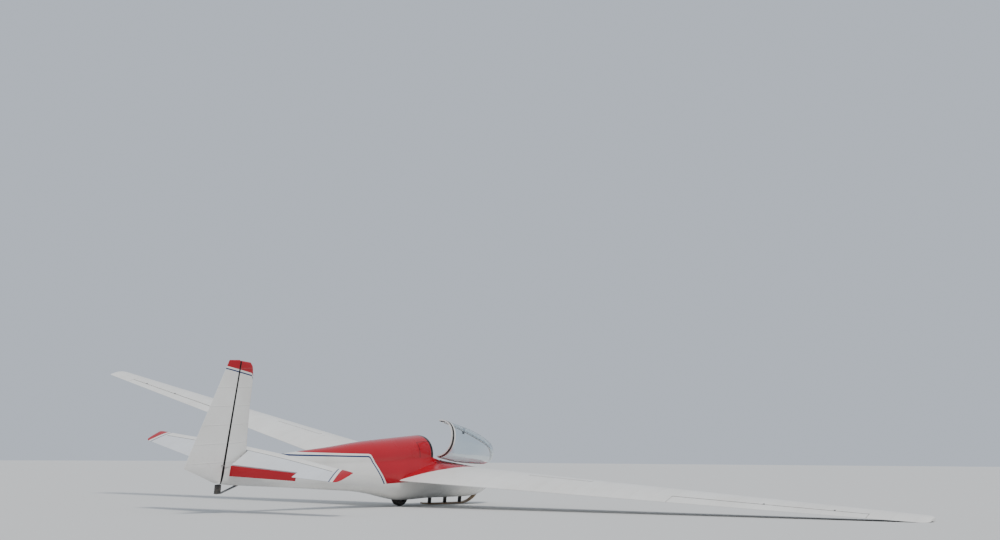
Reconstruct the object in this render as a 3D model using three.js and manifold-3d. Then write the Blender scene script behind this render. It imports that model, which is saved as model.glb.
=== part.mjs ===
// A two-seat wooden training sailplane, parked on its wheel and nose skid with the
// starboard wing tip on the ground and the canopy swung open to starboard.
// Lengths are in millimetres. Inside the airframe group X points to port, Y points aft
// and Z points up, with the origin on the centre line at the wing's trailing edge.
import * as THREE from "three";
import { mergeVertices } from "three/addons/utils/BufferGeometryUtils.js";
import Module from "manifold-3d";

const wasm = await Module();
wasm.setup();

// Driving dimensions
const HALF_SPAN = 9075;
const ROOT_CHORD = 1451;
const TIP_CHORD = 480;
const TIP_TRAILING_EDGE = 958;
const DIHEDRAL = 0.0882;
const ROOT_INCIDENCE = 0.0606;
const TIP_INCIDENCE = 0.0205;
const WING_THICKNESS = 0.18;
const WING_CAMBER = 0.035;
const PARKED_PITCH = 0.0699;
const PARKED_BANK = 0.1472;
const WALL = 22;
const BOOM_WALL = 12;
const CANOPY_WALL = 20;
const GLASS_WALL = 6;
const BOOM_END_AHEAD = 62;
const GAP = 0.3;
const MOVING_GAP = 8;
// A cutting shape reaches this far past the piece that it cuts.
const OVERLAP = 60;
const FAR = 5000;

// Finishes
const finish = (color, roughness, metalness = 0) =>
  new THREE.MeshStandardMaterial({ color, roughness, metalness });
const WHITE = finish(0xe9e8e4, 0.35);
const RED = finish(0xc8192b, 0.35);
const CREAM = finish(0xdcd8c8, 0.45);
const WOOD = finish(0xb08a58, 0.6);
const STEEL = finish(0x8c8f92, 0.35, 1);
const DARK_STEEL = finish(0x2a2b2d, 0.5, 1);
const RUBBER = finish(0x18181a, 0.85);
const CLOTH = finish(0x3b3f46, 0.95);
const PANEL_BLACK = finish(0x1c1d1f, 0.6);
const GLAZING = finish(0xcfdde6, 0.05);

const SIDES = [
  ["port", 1],
  ["starboard", -1],
];

const sailplane = new THREE.Group();
const banked = new THREE.Group();
const airframe = new THREE.Group();
sailplane.add(banked);
banked.add(airframe);
banked.rotation.y = -PARKED_BANK;
airframe.rotation.x = -PARKED_PITCH;

// Geometry helpers

// A place given as distance forward, to port and up.
const at = (forward, port, up) => new THREE.Vector3(port, -forward, up);

// A mesh becomes a solid that can be cut and joined.
function solid(geometry) {
  const bare = geometry.clone();
  bare.deleteAttribute("normal");
  bare.deleteAttribute("uv");
  const merged = mergeVertices(bare, 1e-3);
  return new wasm.Manifold(
    new wasm.Mesh({
      numProp: 3,
      vertProperties: merged.attributes.position.array,
      triVerts: new Uint32Array(merged.index.array),
    }),
  );
}

// A cut solid becomes a geometry again.
function geometryOf(cut) {
  const mesh = cut.getMesh();
  const points = new Float32Array(mesh.numVert * 3);
  for (let i = 0; i < mesh.numVert; i += 1)
    for (let k = 0; k < 3; k += 1)
      points[i * 3 + k] = mesh.vertProperties[i * mesh.numProp + k];
  const geometry = new THREE.BufferGeometry();
  geometry.setAttribute("position", new THREE.BufferAttribute(points, 3));
  geometry.setIndex(Array.from(mesh.triVerts));
  geometry.computeVertexNormals();
  return geometry;
}

function addPiece(name, shape, material, parent = airframe) {
  const geometry = shape.isBufferGeometry ? shape : geometryOf(shape);
  const mesh = new THREE.Mesh(geometry, material);
  mesh.name = name;
  parent.add(mesh);
  return mesh;
}

// A closed solid through rings of equal length, with flat ends.
function loft(rings) {
  const count = rings[0].length;
  const positions = rings.flat().flatMap((p) => [p.x, p.y, p.z]);
  const faces = [];
  for (let r = 0; r + 1 < rings.length; r += 1)
    for (let i = 0; i < count; i += 1) {
      const a = r * count + i;
      const b = r * count + ((i + 1) % count);
      faces.push(a, b, b + count, a, b + count, a + count);
    }
  const flat = flatten(rings[0]);
  const caps = THREE.ShapeUtils.triangulateShape(flat, []);
  const [p, q, r] = caps[0].map((i) => flat[i]);
  const along = THREE.ShapeUtils.area([p, q, r]) * THREE.ShapeUtils.area(flat) > 0;
  const last = (rings.length - 1) * count;
  for (const [a, i, j] of caps) {
    const [b, c] = along ? [i, j] : [j, i];
    faces.push(a, c, b, last + a, last + b, last + c);
  }
  const geometry = new THREE.BufferGeometry();
  geometry.setAttribute(
    "position",
    new THREE.Float32BufferAttribute(positions, 3),
  );
  geometry.setIndex(faces);
  return solid(facingOut(geometry));
}

// A ring seen flat, along the axis that it is thinnest in.
function flatten(ring) {
  const box = new THREE.Box3().setFromPoints(ring);
  const size = box.getSize(new THREE.Vector3());
  const thin = ["x", "y", "z"].sort((a, b) => size[a] - size[b])[0];
  const [u, v] = ["x", "y", "z"].filter((axis) => axis !== thin);
  return ring.map((p) => new THREE.Vector2(p[u], p[v]));
}

// The faces are turned round where the enclosed volume comes out negative.
function facingOut(geometry) {
  const p = geometry.attributes.position;
  const index = geometry.index.array;
  const [a, b, c] = [0, 1, 2].map(() => new THREE.Vector3());
  let volume = 0;
  for (let i = 0; i < index.length; i += 3) {
    a.fromBufferAttribute(p, index[i]);
    b.fromBufferAttribute(p, index[i + 1]);
    c.fromBufferAttribute(p, index[i + 2]);
    volume += a.dot(b.cross(c));
  }
  if (volume < 0)
    for (let i = 0; i < index.length; i += 3)
      [index[i + 1], index[i + 2]] = [index[i + 2], index[i + 1]];
  return geometry;
}

// A box between two corners, given as forward, port and up.
function block(f0, f1, p0, p1, u0, u1) {
  const box = new THREE.BoxGeometry(p1 - p0, f1 - f0, u1 - u0);
  box.translate((p0 + p1) / 2, -(f0 + f1) / 2, (u0 + u1) / 2);
  return solid(box);
}

// A prism whose outline is given as forward and up, cut from port side to side.
function sidePrism(outline, p0, p1) {
  const ring = (port) => outline.map(([f, u]) => at(f, port, u));
  return loft([ring(p0), ring(p1)]);
}

// A prism whose outline is given as forward and port, standing from one height to another.
function planPrism(outline, u0, u1) {
  const ring = (up) => outline.map(([f, p]) => at(f, p, up));
  return loft([ring(u0), ring(u1)]);
}

// A rod between two places, with its own radius at each.
function rod(from, to, r0, r1 = r0, sides = 16) {
  const length = from.distanceTo(to);
  const geometry = new THREE.CylinderGeometry(r1, r0, length, sides);
  geometry.translate(0, length / 2, 0);
  const turn = new THREE.Quaternion().setFromUnitVectors(
    new THREE.Vector3(0, 1, 0),
    to.clone().sub(from).normalize(),
  );
  geometry.applyQuaternion(turn);
  geometry.translate(from.x, from.y, from.z);
  return solid(geometry);
}

// A smooth curve through a short table of place and value.
function curve(table) {
  const slope = table.map((row, i) => {
    const before = table[Math.max(i - 1, 0)];
    const after = table[Math.min(i + 1, table.length - 1)];
    return (after[1] - before[1]) / (after[0] - before[0]);
  });
  return (x) => {
    const last = table.length - 2;
    let i = table.findIndex((row) => row[0] > x) - 1;
    if (i < -1) i = last;
    i = Math.min(Math.max(i, 0), last);
    const [x0, y0] = table[i];
    const [x1, y1] = table[i + 1];
    const h = x1 - x0;
    const t = Math.min(Math.max((x - x0) / h, 0), 1);
    const rise = t * t * (3 - 2 * t);
    const start = t * (1 - t) * (1 - t) * h * slope[i];
    const end = t * t * (t - 1) * h * slope[i + 1];
    return y0 + (y1 - y0) * rise + start + end;
  };
}

// Fuselage lines: each is [forward, value].
const BELLY = curve([
  [-3700, 225],
  [-3450, 185],
  [-2400, 64],
  [-1440, -54],
  [-760, -138],
  [-350, -219],
  [260, -369],
  [560, -396],
  [1120, -410],
  [1930, -463],
  [2420, -487],
  [2690, -462],
  [2900, -385],
  [3060, -290],
  [3170, -205],
  [3220, -135],
]);
const CROWN = curve([
  [-3700, 518],
  [-3200, 536],
  [-2900, 558],
  [-2310, 602],
  [-1340, 640],
  [-620, 683],
  [150, 701],
  [1110, 717],
  [1500, 722],
  [1800, 680],
  [2100, 588],
  [2400, 430],
  [2620, 245],
  [2740, 95],
  [2780, 8],
  [2840, -25],
  [3000, -55],
  [3150, -90],
  [3220, -120],
]);
const BEAM = curve([
  [-3700, 42],
  [-3200, 82],
  [-2300, 142],
  [-1400, 225],
  [-700, 312],
  [0, 392],
  [600, 450],
  [1200, 492],
  [1800, 500],
  [2300, 452],
  [2700, 345],
  [2980, 225],
  [3140, 120],
  [3220, 14],
]);
const BEAM_HEIGHT = curve([
  [-3700, 390],
  [-2300, 310],
  [-1400, 230],
  [-700, 150],
  [0, 60],
  [1000, 0],
  [2000, -60],
  [2700, -120],
  [3220, -128],
]);
const SHOULDER = curve([
  [-3700, 38],
  [-3200, 74],
  [-2300, 126],
  [-1400, 198],
  [-700, 262],
  [0, 310],
  [985, 335],
  [1610, 320],
  [1970, 285],
  [2340, 235],
  [2560, 200],
  [2680, 160],
  [2750, 100],
  [2780, 30],
  [2900, 60],
  [3100, 60],
  [3220, 8],
]);
const SHOULDER_HEIGHT = curve([
  [-3700, 450],
  [-2300, 430],
  [-1400, 400],
  [-700, 380],
  [0, 370],
  [985, 360],
  [1376, 250],
  [2087, 130],
  [2700, 20],
  [2780, 0],
  [2900, -35],
  [3100, -85],
  [3220, -124],
]);
const BOOM_JOINT = -700;
const BULKHEAD = 985;
const NOSE_JOINT = 2050;
const NOSE_TIP = 3220;
const CANOPY_FRONT = 2780;

// How square the belly and the crown are (2 is an ellipse), and how the flank bows in
// between its widest place and the foot of the deck.
const BELLY_POWER = 2.4;
const CROWN_POWER = 2.2;
const FLANK_POWER = 1.6;
const FLANK_STEPS = [0.35, 0.7];

// One cross-section ring: round belly, sloping side, then a rounded deck or canopy crown.
function fuselageRing(forward, inset) {
  const bottom = BELLY(forward) + inset;
  const top = CROWN(forward) - inset;
  const beam = Math.max(BEAM(forward) - inset, 3);
  const beamUp = BEAM_HEIGHT(forward);
  const shoulder = Math.max(SHOULDER(forward) - inset, 1.5);
  const shoulderUp = Math.min(SHOULDER_HEIGHT(forward), top - 1.5);
  const half = [];
  const bellySteps = 8;
  const crownSteps = 7;
  for (let i = 0; i <= bellySteps; i += 1) {
    const t = (i / bellySteps) * (Math.PI / 2);
    half.push([
      beam * Math.sin(t) ** (2 / BELLY_POWER),
      beamUp - (beamUp - bottom) * Math.cos(t) ** (2 / BELLY_POWER),
    ]);
  }
  for (const t of FLANK_STEPS)
    half.push([
      beam + (shoulder - beam) * t ** FLANK_POWER,
      beamUp + (shoulderUp - beamUp) * t,
    ]);
  for (let i = 0; i < crownSteps; i += 1) {
    const t = (i / crownSteps) * (Math.PI / 2);
    half.push([
      shoulder * Math.cos(t) ** (2 / CROWN_POWER),
      shoulderUp + (top - shoulderUp) * Math.sin(t) ** (2 / CROWN_POWER),
    ]);
  }
  half.push([0, top]);
  const port = half.map(([p, u]) => at(forward, p, u));
  const starboard = half
    .slice(1, -1)
    .reverse()
    .map(([p, u]) => at(forward, -p, u));
  return [...port, ...starboard];
}

// Stations are closer together where the lines bend more.
const STATIONS = [-3700];
while (STATIONS.at(-1) < NOSE_TIP - 60) {
  const f = STATIONS.at(-1);
  STATIONS.push(f + (f < BOOM_JOINT ? 420 : f < 900 ? 230 : f < 2450 ? 130 : 55));
}
STATIONS[STATIONS.length - 1] = NOSE_TIP;

const WIDE = 900;
const HIGH = 1400;
const INSIDE_END = NOSE_TIP - 40;
const whole = (from, to) => block(from, to, -WIDE, WIDE, -WIDE, HIGH);
const lofted = new Map();

// The fuselage's own shape made smaller all round, between two places along it.
function fuselageSolid(from, to, inset) {
  if (!lofted.has(inset)) {
    const end = inset > 0 ? NOSE_TIP - 60 : NOSE_TIP;
    const rings = STATIONS.filter((f) => f <= end).map((f) => fuselageRing(f, inset));
    lofted.set(inset, loft(rings));
  }
  return lofted.get(inset).intersect(whole(from, to));
}

// Cockpit opening: a sill line in side view, up to the deck's straight front edge.
const SILL = [
  [BULKHEAD - 60, 376],
  [BULKHEAD, 360],
  [1160, 304],
  [1376, 250],
  [1720, 190],
  [2087, 130],
  [2400, 76],
  [2700, 20],
  [CANOPY_FRONT + 12, 0],
];

function openingSolid(inset, rear = inset) {
  const sill = SILL.map(([f, u]) => [f, u + inset]);
  const last = SILL.at(-1)[0] - inset;
  sill[sill.length - 1] = [last, inset];
  const side = [...sill, [last, HIGH], [SILL[0][0], HIGH]];
  return sidePrism(side, -WIDE, WIDE).intersect(whole(BULKHEAD + rear, NOSE_TIP));
}

const WHEEL_FORWARD = 550;
const WHEEL_RADIUS = 190;
const WHEEL_HALF_WIDTH = 65;
const GROUND_AT_ORIGIN = 472;
// Height of the ground under a place on the centre line, in the airframe's own axes.
const groundUp = (forward) =>
  -(GROUND_AT_ORIGIN + forward * Math.sin(PARKED_PITCH) * Math.cos(PARKED_BANK)) /
  (Math.cos(PARKED_PITCH) * Math.cos(PARKED_BANK));
const SKID_HALF_WIDTH = 38;
const WHEEL_UP =
  groundUp(WHEEL_FORWARD) + WHEEL_RADIUS / Math.cos(PARKED_PITCH) / Math.cos(PARKED_BANK);

// Rudder hinge line: it leans forward as it rises.
const HINGE_LOW = [-3722, 225];
const HINGE_HIGH = [-3480, 2085];
const hingeAt = (up, ahead = 0) =>
  HINGE_LOW[0] +
  ((up - HINGE_LOW[1]) * (HINGE_HIGH[0] - HINGE_LOW[0])) /
    (HINGE_HIGH[1] - HINGE_LOW[1]) +
  ahead;
const aftOfHinge = (ahead) =>
  sidePrism(
    [
      [hingeAt(-200, ahead), -200],
      [hingeAt(2300, ahead), 2300],
      [-5000, 2300],
      [-5000, -200],
    ],
    -300,
    300,
  );

const outer = fuselageSolid(-3700, NOSE_TIP, 0).subtract(aftOfHinge(BOOM_END_AHEAD));
const opening = openingSolid(0);

// The way through the fin for the tailplane's tube.
const TUBE_RADIUS = 18.7;
const tubeHole = () =>
  rod(
    at(TAIL_PIVOT[0], -200, TAIL_PIVOT[1]),
    at(TAIL_PIVOT[0], 200, TAIL_PIVOT[1]),
    TUBE_RADIUS + 6.3,
  );

const SLOT_HALF_LENGTH = 235;
const SLOT_HALF_WIDTH = 100;
const BOOM_HOLLOW_END = -3560;
const BULKHEAD_FACES = [20, 2];

function buildFuselage() {
  const wheelSlot = block(
    WHEEL_FORWARD - SLOT_HALF_LENGTH,
    WHEEL_FORWARD + SLOT_HALF_LENGTH,
    -SLOT_HALF_WIDTH,
    SLOT_HALF_WIDTH,
    -700,
    -300,
  );
  const boomHollow = fuselageSolid(BOOM_HOLLOW_END, BOOM_JOINT + OVERLAP, BOOM_WALL);
  const boom = outer
    .intersect(whole(-FAR, BOOM_JOINT))
    .subtract(boomHollow);
  addPiece("tail_boom", boom, WHITE);

  const centreHollow = fuselageSolid(BOOM_JOINT - OVERLAP, BULKHEAD + OVERLAP, WALL);
  const centre = outer
    .intersect(whole(BOOM_JOINT + GAP, BULKHEAD - GAP))
    .subtract(centreHollow)
    .subtract(wheelSlot);
  addPiece("centre_fuselage", centre, RED);

  const frontHollow = fuselageSolid(BULKHEAD - OVERLAP, INSIDE_END, WALL);
  const cockpit = outer
    .intersect(whole(BULKHEAD, NOSE_JOINT))
    .subtract(frontHollow)
    .subtract(opening);
  addPiece("cockpit_shell", cockpit, RED);

  const nose = outer
    .intersect(whole(NOSE_JOINT + GAP, NOSE_TIP + OVERLAP))
    .subtract(frontHollow)
    .subtract(opening);
  addPiece("nose_shell", nose, CREAM);

  const bulkheadOuter = fuselageSolid(BULKHEAD - OVERLAP, BULKHEAD + OVERLAP, WALL + GAP);
  const [rear, front] = BULKHEAD_FACES;
  const bulkhead = bulkheadOuter.intersect(whole(BULKHEAD - rear, BULKHEAD - front));
  addPiece("seat_bulkhead", bulkhead, WOOD);
}

// Canopy: a clear bubble in a frame that swings on the starboard sill.
const CANOPY_OPEN = (78 * Math.PI) / 180;
const CANOPY_BAND = 42;
const CANOPY_BOW = 90;
const CANOPY_REAR_GAP = 22;
const CANOPY_HINGE_REAR = at(1150, -368, 314);
const CANOPY_HINGE_FRONT = at(1950, -322, 160);
const CANOPY_PIN_RADIUS = 7;
const CANOPY_PIN_HALF_LENGTH = 0.025;
const CANOPY_FITTINGS = [
  ["canopy_latch", 1040, 1072, -24, 24, 672, 760],
  ["canopy_handle", 1795, 1845, 235, 320, 190, 212],
];

function buildCanopy() {
  const axis = CANOPY_HINGE_FRONT.clone().sub(CANOPY_HINGE_REAR).normalize();
  const canopy = new THREE.Group();
  canopy.position.copy(CANOPY_HINGE_REAR);
  canopy.quaternion.setFromAxisAngle(axis, CANOPY_OPEN);
  airframe.add(canopy);
  const local = (shape) =>
    shape.translate([
      -CANOPY_HINGE_REAR.x,
      -CANOPY_HINGE_REAR.y,
      -CANOPY_HINGE_REAR.z,
    ]);

  const band = openingSolid(MOVING_GAP, CANOPY_REAR_GAP);
  const window = openingSolid(MOVING_GAP + CANOPY_BAND, CANOPY_REAR_GAP + CANOPY_BOW);
  const frameHollow = fuselageSolid(BULKHEAD - OVERLAP, INSIDE_END, CANOPY_WALL);
  const frame = outer.intersect(band).subtract(window).subtract(frameHollow);
  addPiece("canopy_frame", local(frame), WHITE, canopy);

  const glassHollow = fuselageSolid(BULKHEAD - OVERLAP, INSIDE_END, GLASS_WALL);
  const pane = openingSolid(
    MOVING_GAP + CANOPY_BAND + GAP,
    CANOPY_REAR_GAP + CANOPY_BOW + GAP,
  );
  const glass = outer.intersect(pane).subtract(glassHollow);
  addPiece("canopy_glass", local(glass), GLAZING, canopy);

  const inside = fuselageSolid(BULKHEAD - OVERLAP, INSIDE_END, CANOPY_WALL + GAP);
  for (const [name, f0, f1, p0, p1, u0, u1] of CANOPY_FITTINGS) {
    const fitting = block(f0, f1, p0, p1, u0, u1).intersect(inside);
    addPiece(name, local(fitting), DARK_STEEL, canopy);
  }

  const pinEnd = (t) =>
    CANOPY_HINGE_REAR.clone().lerp(CANOPY_HINGE_FRONT, t);
  for (const [name, t] of [
    ["rear_canopy_hinge", 0.03],
    ["front_canopy_hinge", 0.97],
  ]) {
    const pin = rod(
      pinEnd(t - CANOPY_PIN_HALF_LENGTH),
      pinEnd(t + CANOPY_PIN_HALF_LENGTH),
      CANOPY_PIN_RADIUS,
    );
    addPiece(name, pin.subtract(outer), STEEL);
  }
}

// Wing: one straight taper each side, cut by the fuselage, the aileron and the airbrake.
const share = (port) => Math.abs(port) / HALF_SPAN;
const mix = (a, b, t) => a + (b - a) * t;
const chordAt = (port) => mix(ROOT_CHORD, TIP_CHORD, share(port));
const trailingEdgeAt = (port) => TIP_TRAILING_EDGE * share(port);
const incidenceAt = (port) => mix(ROOT_INCIDENCE, TIP_INCIDENCE, share(port));
const heightAt = (port) => DIHEDRAL * Math.abs(port);

// A place on the wing: a share of the chord forward of the trailing edge, and a height.
function onWing(port, chordShare, above = 0) {
  const c = chordAt(port) * chordShare;
  const tilt = incidenceAt(port);
  return at(
    trailingEdgeAt(port) + c * Math.cos(tilt) - above * Math.sin(tilt),
    port,
    heightAt(port) + c * Math.sin(tilt) + above * Math.cos(tilt),
  );
}

// Half thickness and camber of the wing section at a share of the chord from the nose.
function halfThickness(x, thickness) {
  const root = 0.2969 * Math.sqrt(x);
  const rest = -0.126 * x - 0.3516 * x ** 2 + 0.2843 * x ** 3 - 0.1015 * x ** 4;
  return 5 * thickness * (root + rest) + 0.0012;
}
function camberLine(x, camber) {
  const peak = 0.45;
  return x < peak
    ? (camber / peak ** 2) * (2 * peak * x - x * x)
    : (camber / (1 - peak) ** 2) * (1 - 2 * peak + 2 * peak * x - x * x);
}

function wingRing(port, scale = 1, steps = 20) {
  const upper = [];
  const lower = [];
  for (let i = 0; i <= steps; i += 1) {
    const x = (1 - Math.cos((i / steps) * Math.PI)) / 2;
    const half = halfThickness(x, WING_THICKNESS) * scale;
    const camber = camberLine(x, WING_CAMBER);
    const chordShare = 0.5 + (0.5 - x) * scale;
    const chord = chordAt(port);
    upper.push(onWing(port, chordShare, (camber + half) * chord));
    lower.push(onWing(port, chordShare, (camber - half) * chord));
  }
  return [...upper, ...lower.slice(1).reverse()];
}

const AILERON_INNER = 5250;
const AILERON_OUTER = 8250;
const AILERON_SHARE = 0.235;
const AILERON_BAY_GAP = 9;
const AILERON_END_GAP = 11;
const TIP_JOINT = 8950;
const BRAKE_INNER = 2450;
const BRAKE_OUTER = 3650;
const BRAKE_SHARE = 0.6;
const BRAKE_DEPTH = 130;
// The airbrake's cap sits in a recess, and its blade in a slot below that.
const BRAKE_CAP = { halfWidth: 30, thickness: 9 };
const BRAKE_BLADE = { halfWidth: 7, depth: BRAKE_DEPTH };
const BRAKE_RECESS = { halfWidth: 38, depth: 18 };
const BRAKE_SLOT = { halfWidth: 16, depth: BRAKE_DEPTH + 12 };
const WING_ROOT = 300;
const TIP_RINGS = [
  [TIP_JOINT + GAP, 1],
  [TIP_JOINT + 70, 0.93],
  [TIP_JOINT + 108, 0.78],
  [HALF_SPAN, 0.5],
];

// Mid-height of the section at the aileron hinge, and its radius there.
function aileronHinge(port) {
  const x = 1 - AILERON_SHARE;
  const chord = chordAt(port);
  const place = onWing(port, AILERON_SHARE, camberLine(x, WING_CAMBER) * chord);
  const radius = (halfThickness(x, WING_THICKNESS) - 0.001) * chord;
  return { place, radius };
}

// All that lies aft of the aileron's hinge, between its ends.
function aileronZone(side, gap) {
  const inner = side * (AILERON_INNER + gap);
  const outerEnd = side * (AILERON_OUTER - gap);
  const [a, b] = [inner, outerEnd].map((port) => aileronHinge(port).place);
  const reach = 700;
  const outline = [
    [-a.y, inner],
    [-b.y, outerEnd],
    [-b.y - reach, outerEnd],
    [-a.y - reach, inner],
  ];
  return planPrism(outline, -WIDE, FAR);
}

function aileronNose(side, gap, extra) {
  const [a, b] = [AILERON_INNER + gap, AILERON_OUTER - gap].map((port) =>
    aileronHinge(side * port),
  );
  return rod(a.place, b.place, a.radius + extra, b.radius + extra, 24);
}

// A strip of the wing along the airbrake, from top to bottom.
function brakeStrip(side, halfWidth, longer) {
  const corner = (port, sign) => [
    -onWing(port, BRAKE_SHARE).y + sign * halfWidth,
    side * port,
  ];
  const [from, to] = [BRAKE_INNER - longer, BRAKE_OUTER + longer];
  const outline = [corner(from, 1), corner(to, 1), corner(to, -1), corner(from, -1)];
  return planPrism(outline, -WIDE, WIDE);
}

function buildWing(side, name) {
  const panel = loft([WING_ROOT, TIP_JOINT].map((port) => wingRing(side * port)));
  const below = (depth) => panel.translate([0, 0, -depth]);
  const cavity = ({ halfWidth, depth }) =>
    brakeStrip(side, halfWidth, MOVING_GAP).subtract(below(depth));
  const bay = aileronZone(side, 0).add(aileronNose(side, 0, AILERON_BAY_GAP));
  const wing = panel
    .subtract(bay)
    .subtract(cavity(BRAKE_SLOT))
    .subtract(cavity(BRAKE_RECESS))
    .subtract(fuselageSolid(-900, 2300, -GAP));
  addPiece(`${name}_wing`, wing, WHITE);

  const cap = panel
    .intersect(brakeStrip(side, BRAKE_CAP.halfWidth, 0))
    .subtract(below(BRAKE_CAP.thickness));
  const blade = panel
    .intersect(brakeStrip(side, BRAKE_BLADE.halfWidth, 0))
    .subtract(below(BRAKE_BLADE.depth));
  addPiece(`${name}_airbrake`, cap.add(blade), WHITE);

  const aileron = panel
    .intersect(aileronZone(side, AILERON_END_GAP))
    .add(aileronNose(side, AILERON_END_GAP, 0));
  addPiece(`${name}_aileron`, aileron, WHITE);

  const rings = TIP_RINGS.map(([port, scale]) => wingRing(side * port, scale));
  addPiece(`${name}_wing_tip`, loft(rings), WHITE);
}

// Fin and rudder share one tapered section that thins towards the top.
const FIN_TOP = 2085;
const FIN_HEIGHTS = [480, 900, 1400, 1800, 1900, 1985, 2045, FIN_TOP];
const FIN_EDGE = curve([
  [400, -3160],
  [600, -3180],
  [1250, -3190],
  [1800, -3172],
  [1900, -3182],
  [1985, -3198],
  [2045, -3245],
  [2085, -3300],
]);
// The fin's top slopes down towards the front.
const FIN_CREST = [
  [-3560, 2092],
  [-3100, 2027],
];
const RUDDER_EDGE = [
  [225, -3735],
  [500, -4370],
  [2088, -3668],
];
const RUDDER_HEIGHTS = [240, 370, 500, 900, 1400, 1800, 2088];
const HORN = [
  [-3716, 55.5],
  [-3684, 55.5],
  [-3668, 93],
  [-3684, 96],
];
const HORN_HEIGHTS = [507, 514];
const RUDDER_NOSE = 0.7;
const RUDDER_SLOT = 10;
const TAIL_THICKNESS = [120, 58];
const tailThickness = (up) =>
  mix(...TAIL_THICKNESS, (up - RUDDER_EDGE[0][0]) / (FIN_TOP - RUDDER_EDGE[0][0]));

function finRing(up) {
  const front = FIN_EDGE(up);
  const back = hingeAt(up, (tailThickness(up) / 2) * RUDDER_NOSE + RUDDER_SLOT);
  const half = tailThickness(up) / 2;
  const steps = 8;
  const ring = [];
  for (let i = 0; i <= steps; i += 1) {
    const t = (i / steps) ** 1.6;
    ring.push([mix(front, back, t), half * Math.sqrt(t) * (1.25 - 0.25 * t)]);
  }
  const port = ring.map(([f, p]) => at(f, p, up));
  const starboard = ring
    .slice(1)
    .reverse()
    .map(([f, p]) => at(f, -p, up));
  return [...port, ...starboard];
}

function rudderRing(up, back) {
  const front = hingeAt(up);
  const half = tailThickness(up) / 2;
  const ring = [];
  for (let i = 0; i <= 6; i += 1) {
    const t = (i / 6) * (Math.PI / 2);
    ring.push([front + half * RUDDER_NOSE * Math.cos(t), half * Math.sin(t)]);
  }
  ring.push([back, 5]);
  const port = ring.map(([f, p]) => at(f, p, up));
  const starboard = ring
    .slice(1)
    .reverse()
    .map(([f, p]) => at(f, -p, up));
  return [...port, ...starboard];
}

function buildFin() {
  const aboveCrest = sidePrism([...FIN_CREST, [-3100, 2400], [-3560, 2400]], -100, 100);
  const fin = loft(FIN_HEIGHTS.map(finRing))
    .subtract(aboveCrest)
    .subtract(fuselageSolid(-3700, -2900, -GAP))
    .subtract(tubeHole());
  addPiece("fin", fin, WHITE);

  const backAt = (up) => {
    const [low, wide, high] = RUDDER_EDGE;
    if (up < wide[0])
      return mix(low[1], wide[1], (up - low[0]) / (wide[0] - low[0]));
    return mix(wide[1], high[1], (up - wide[0]) / (high[0] - wide[0]));
  };
  const rudder = loft(RUDDER_HEIGHTS.map((up) => rudderRing(up, backAt(up))));
  addPiece("rudder", rudder, WHITE);
  for (const [name, side] of SIDES) {
    const plate = planPrism(HORN.map(([f, p]) => [f, side * p]), ...HORN_HEIGHTS);
    addPiece(`${name}_rudder_horn`, plate, DARK_STEEL);
  }
}

// All-moving tailplane, drooped as it parks, with a tab on its starboard half only.
const TAIL_PIVOT = [-3300, 605];
const TAIL_HALF_SPAN = 2150;
const TAIL_DROOP = (22 * Math.PI) / 180;
const TAIL_SECTION = 0.1;
const TAIL_FRONT = curve([
  [0, 300],
  [600, 298],
  [1300, 266],
  [1750, 243],
  [2060, 232],
  [TAIL_HALF_SPAN, 222],
]);
const TAIL_BACK = [-405, -94];
// Each ring of the tip: distance out, how far its back is drawn forward, and its thickness.
const TAIL_RINGS = [
  [GAP / 2, 0, 1],
  [600, 0, 1],
  [1300, 0, 1],
  [1750, 0, 1],
  [2060, 0, 1],
  [2110, 22, 0.85],
  [2138, 80, 0.65],
  [TAIL_HALF_SPAN, 170, 0.45],
];
const TAB_DROOP = (66 * Math.PI) / 180;
const TAB_INNER = 105;
// Half of the notch that clears the fin and the rudder, from its front to its back.
const NOTCH = [
  [155, 25],
  [60, 62],
  [-190, TAB_INNER],
  [-900, TAB_INNER],
];
const TAB_OUTER = 1330;
const TAB_CHORD = 110;
const TAB_ROOT_CHORD = 155;
const TAB_NOSE = 6;
const TAB_BAY_GAP = 10;
const tailBack = (port) => mix(...TAIL_BACK, Math.abs(port) / TAIL_HALF_SPAN);
const tabHinge = (port) => tailBack(port) + TAB_CHORD;

function tailRing(side, [port, drawn, scale]) {
  const front = TAIL_FRONT(port);
  const chord = front - tailBack(port) - drawn;
  const steps = 12;
  const upper = [];
  const lower = [];
  for (let i = 0; i <= steps; i += 1) {
    const x = (1 - Math.cos((i / steps) * Math.PI)) / 2;
    const half = (halfThickness(x, TAIL_SECTION) + 0.004) * chord * scale;
    upper.push(at(front - x * chord, side * port, half));
    lower.push(at(front - x * chord, side * port, -half));
  }
  return [...upper, ...lower.reverse()];
}

function tabRing(port) {
  const hinge = tabHinge(port);
  const inward = (TAB_OUTER - Math.abs(port)) / (TAB_OUTER - TAB_INNER);
  const back = hinge - mix(TAB_CHORD, TAB_ROOT_CHORD, inward);
  return [
    at(hinge + TAB_NOSE, port, 8),
    at(hinge + TAB_NOSE, port, -8),
    at(back, port, -2),
    at(back, port, 2),
  ];
}

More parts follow.
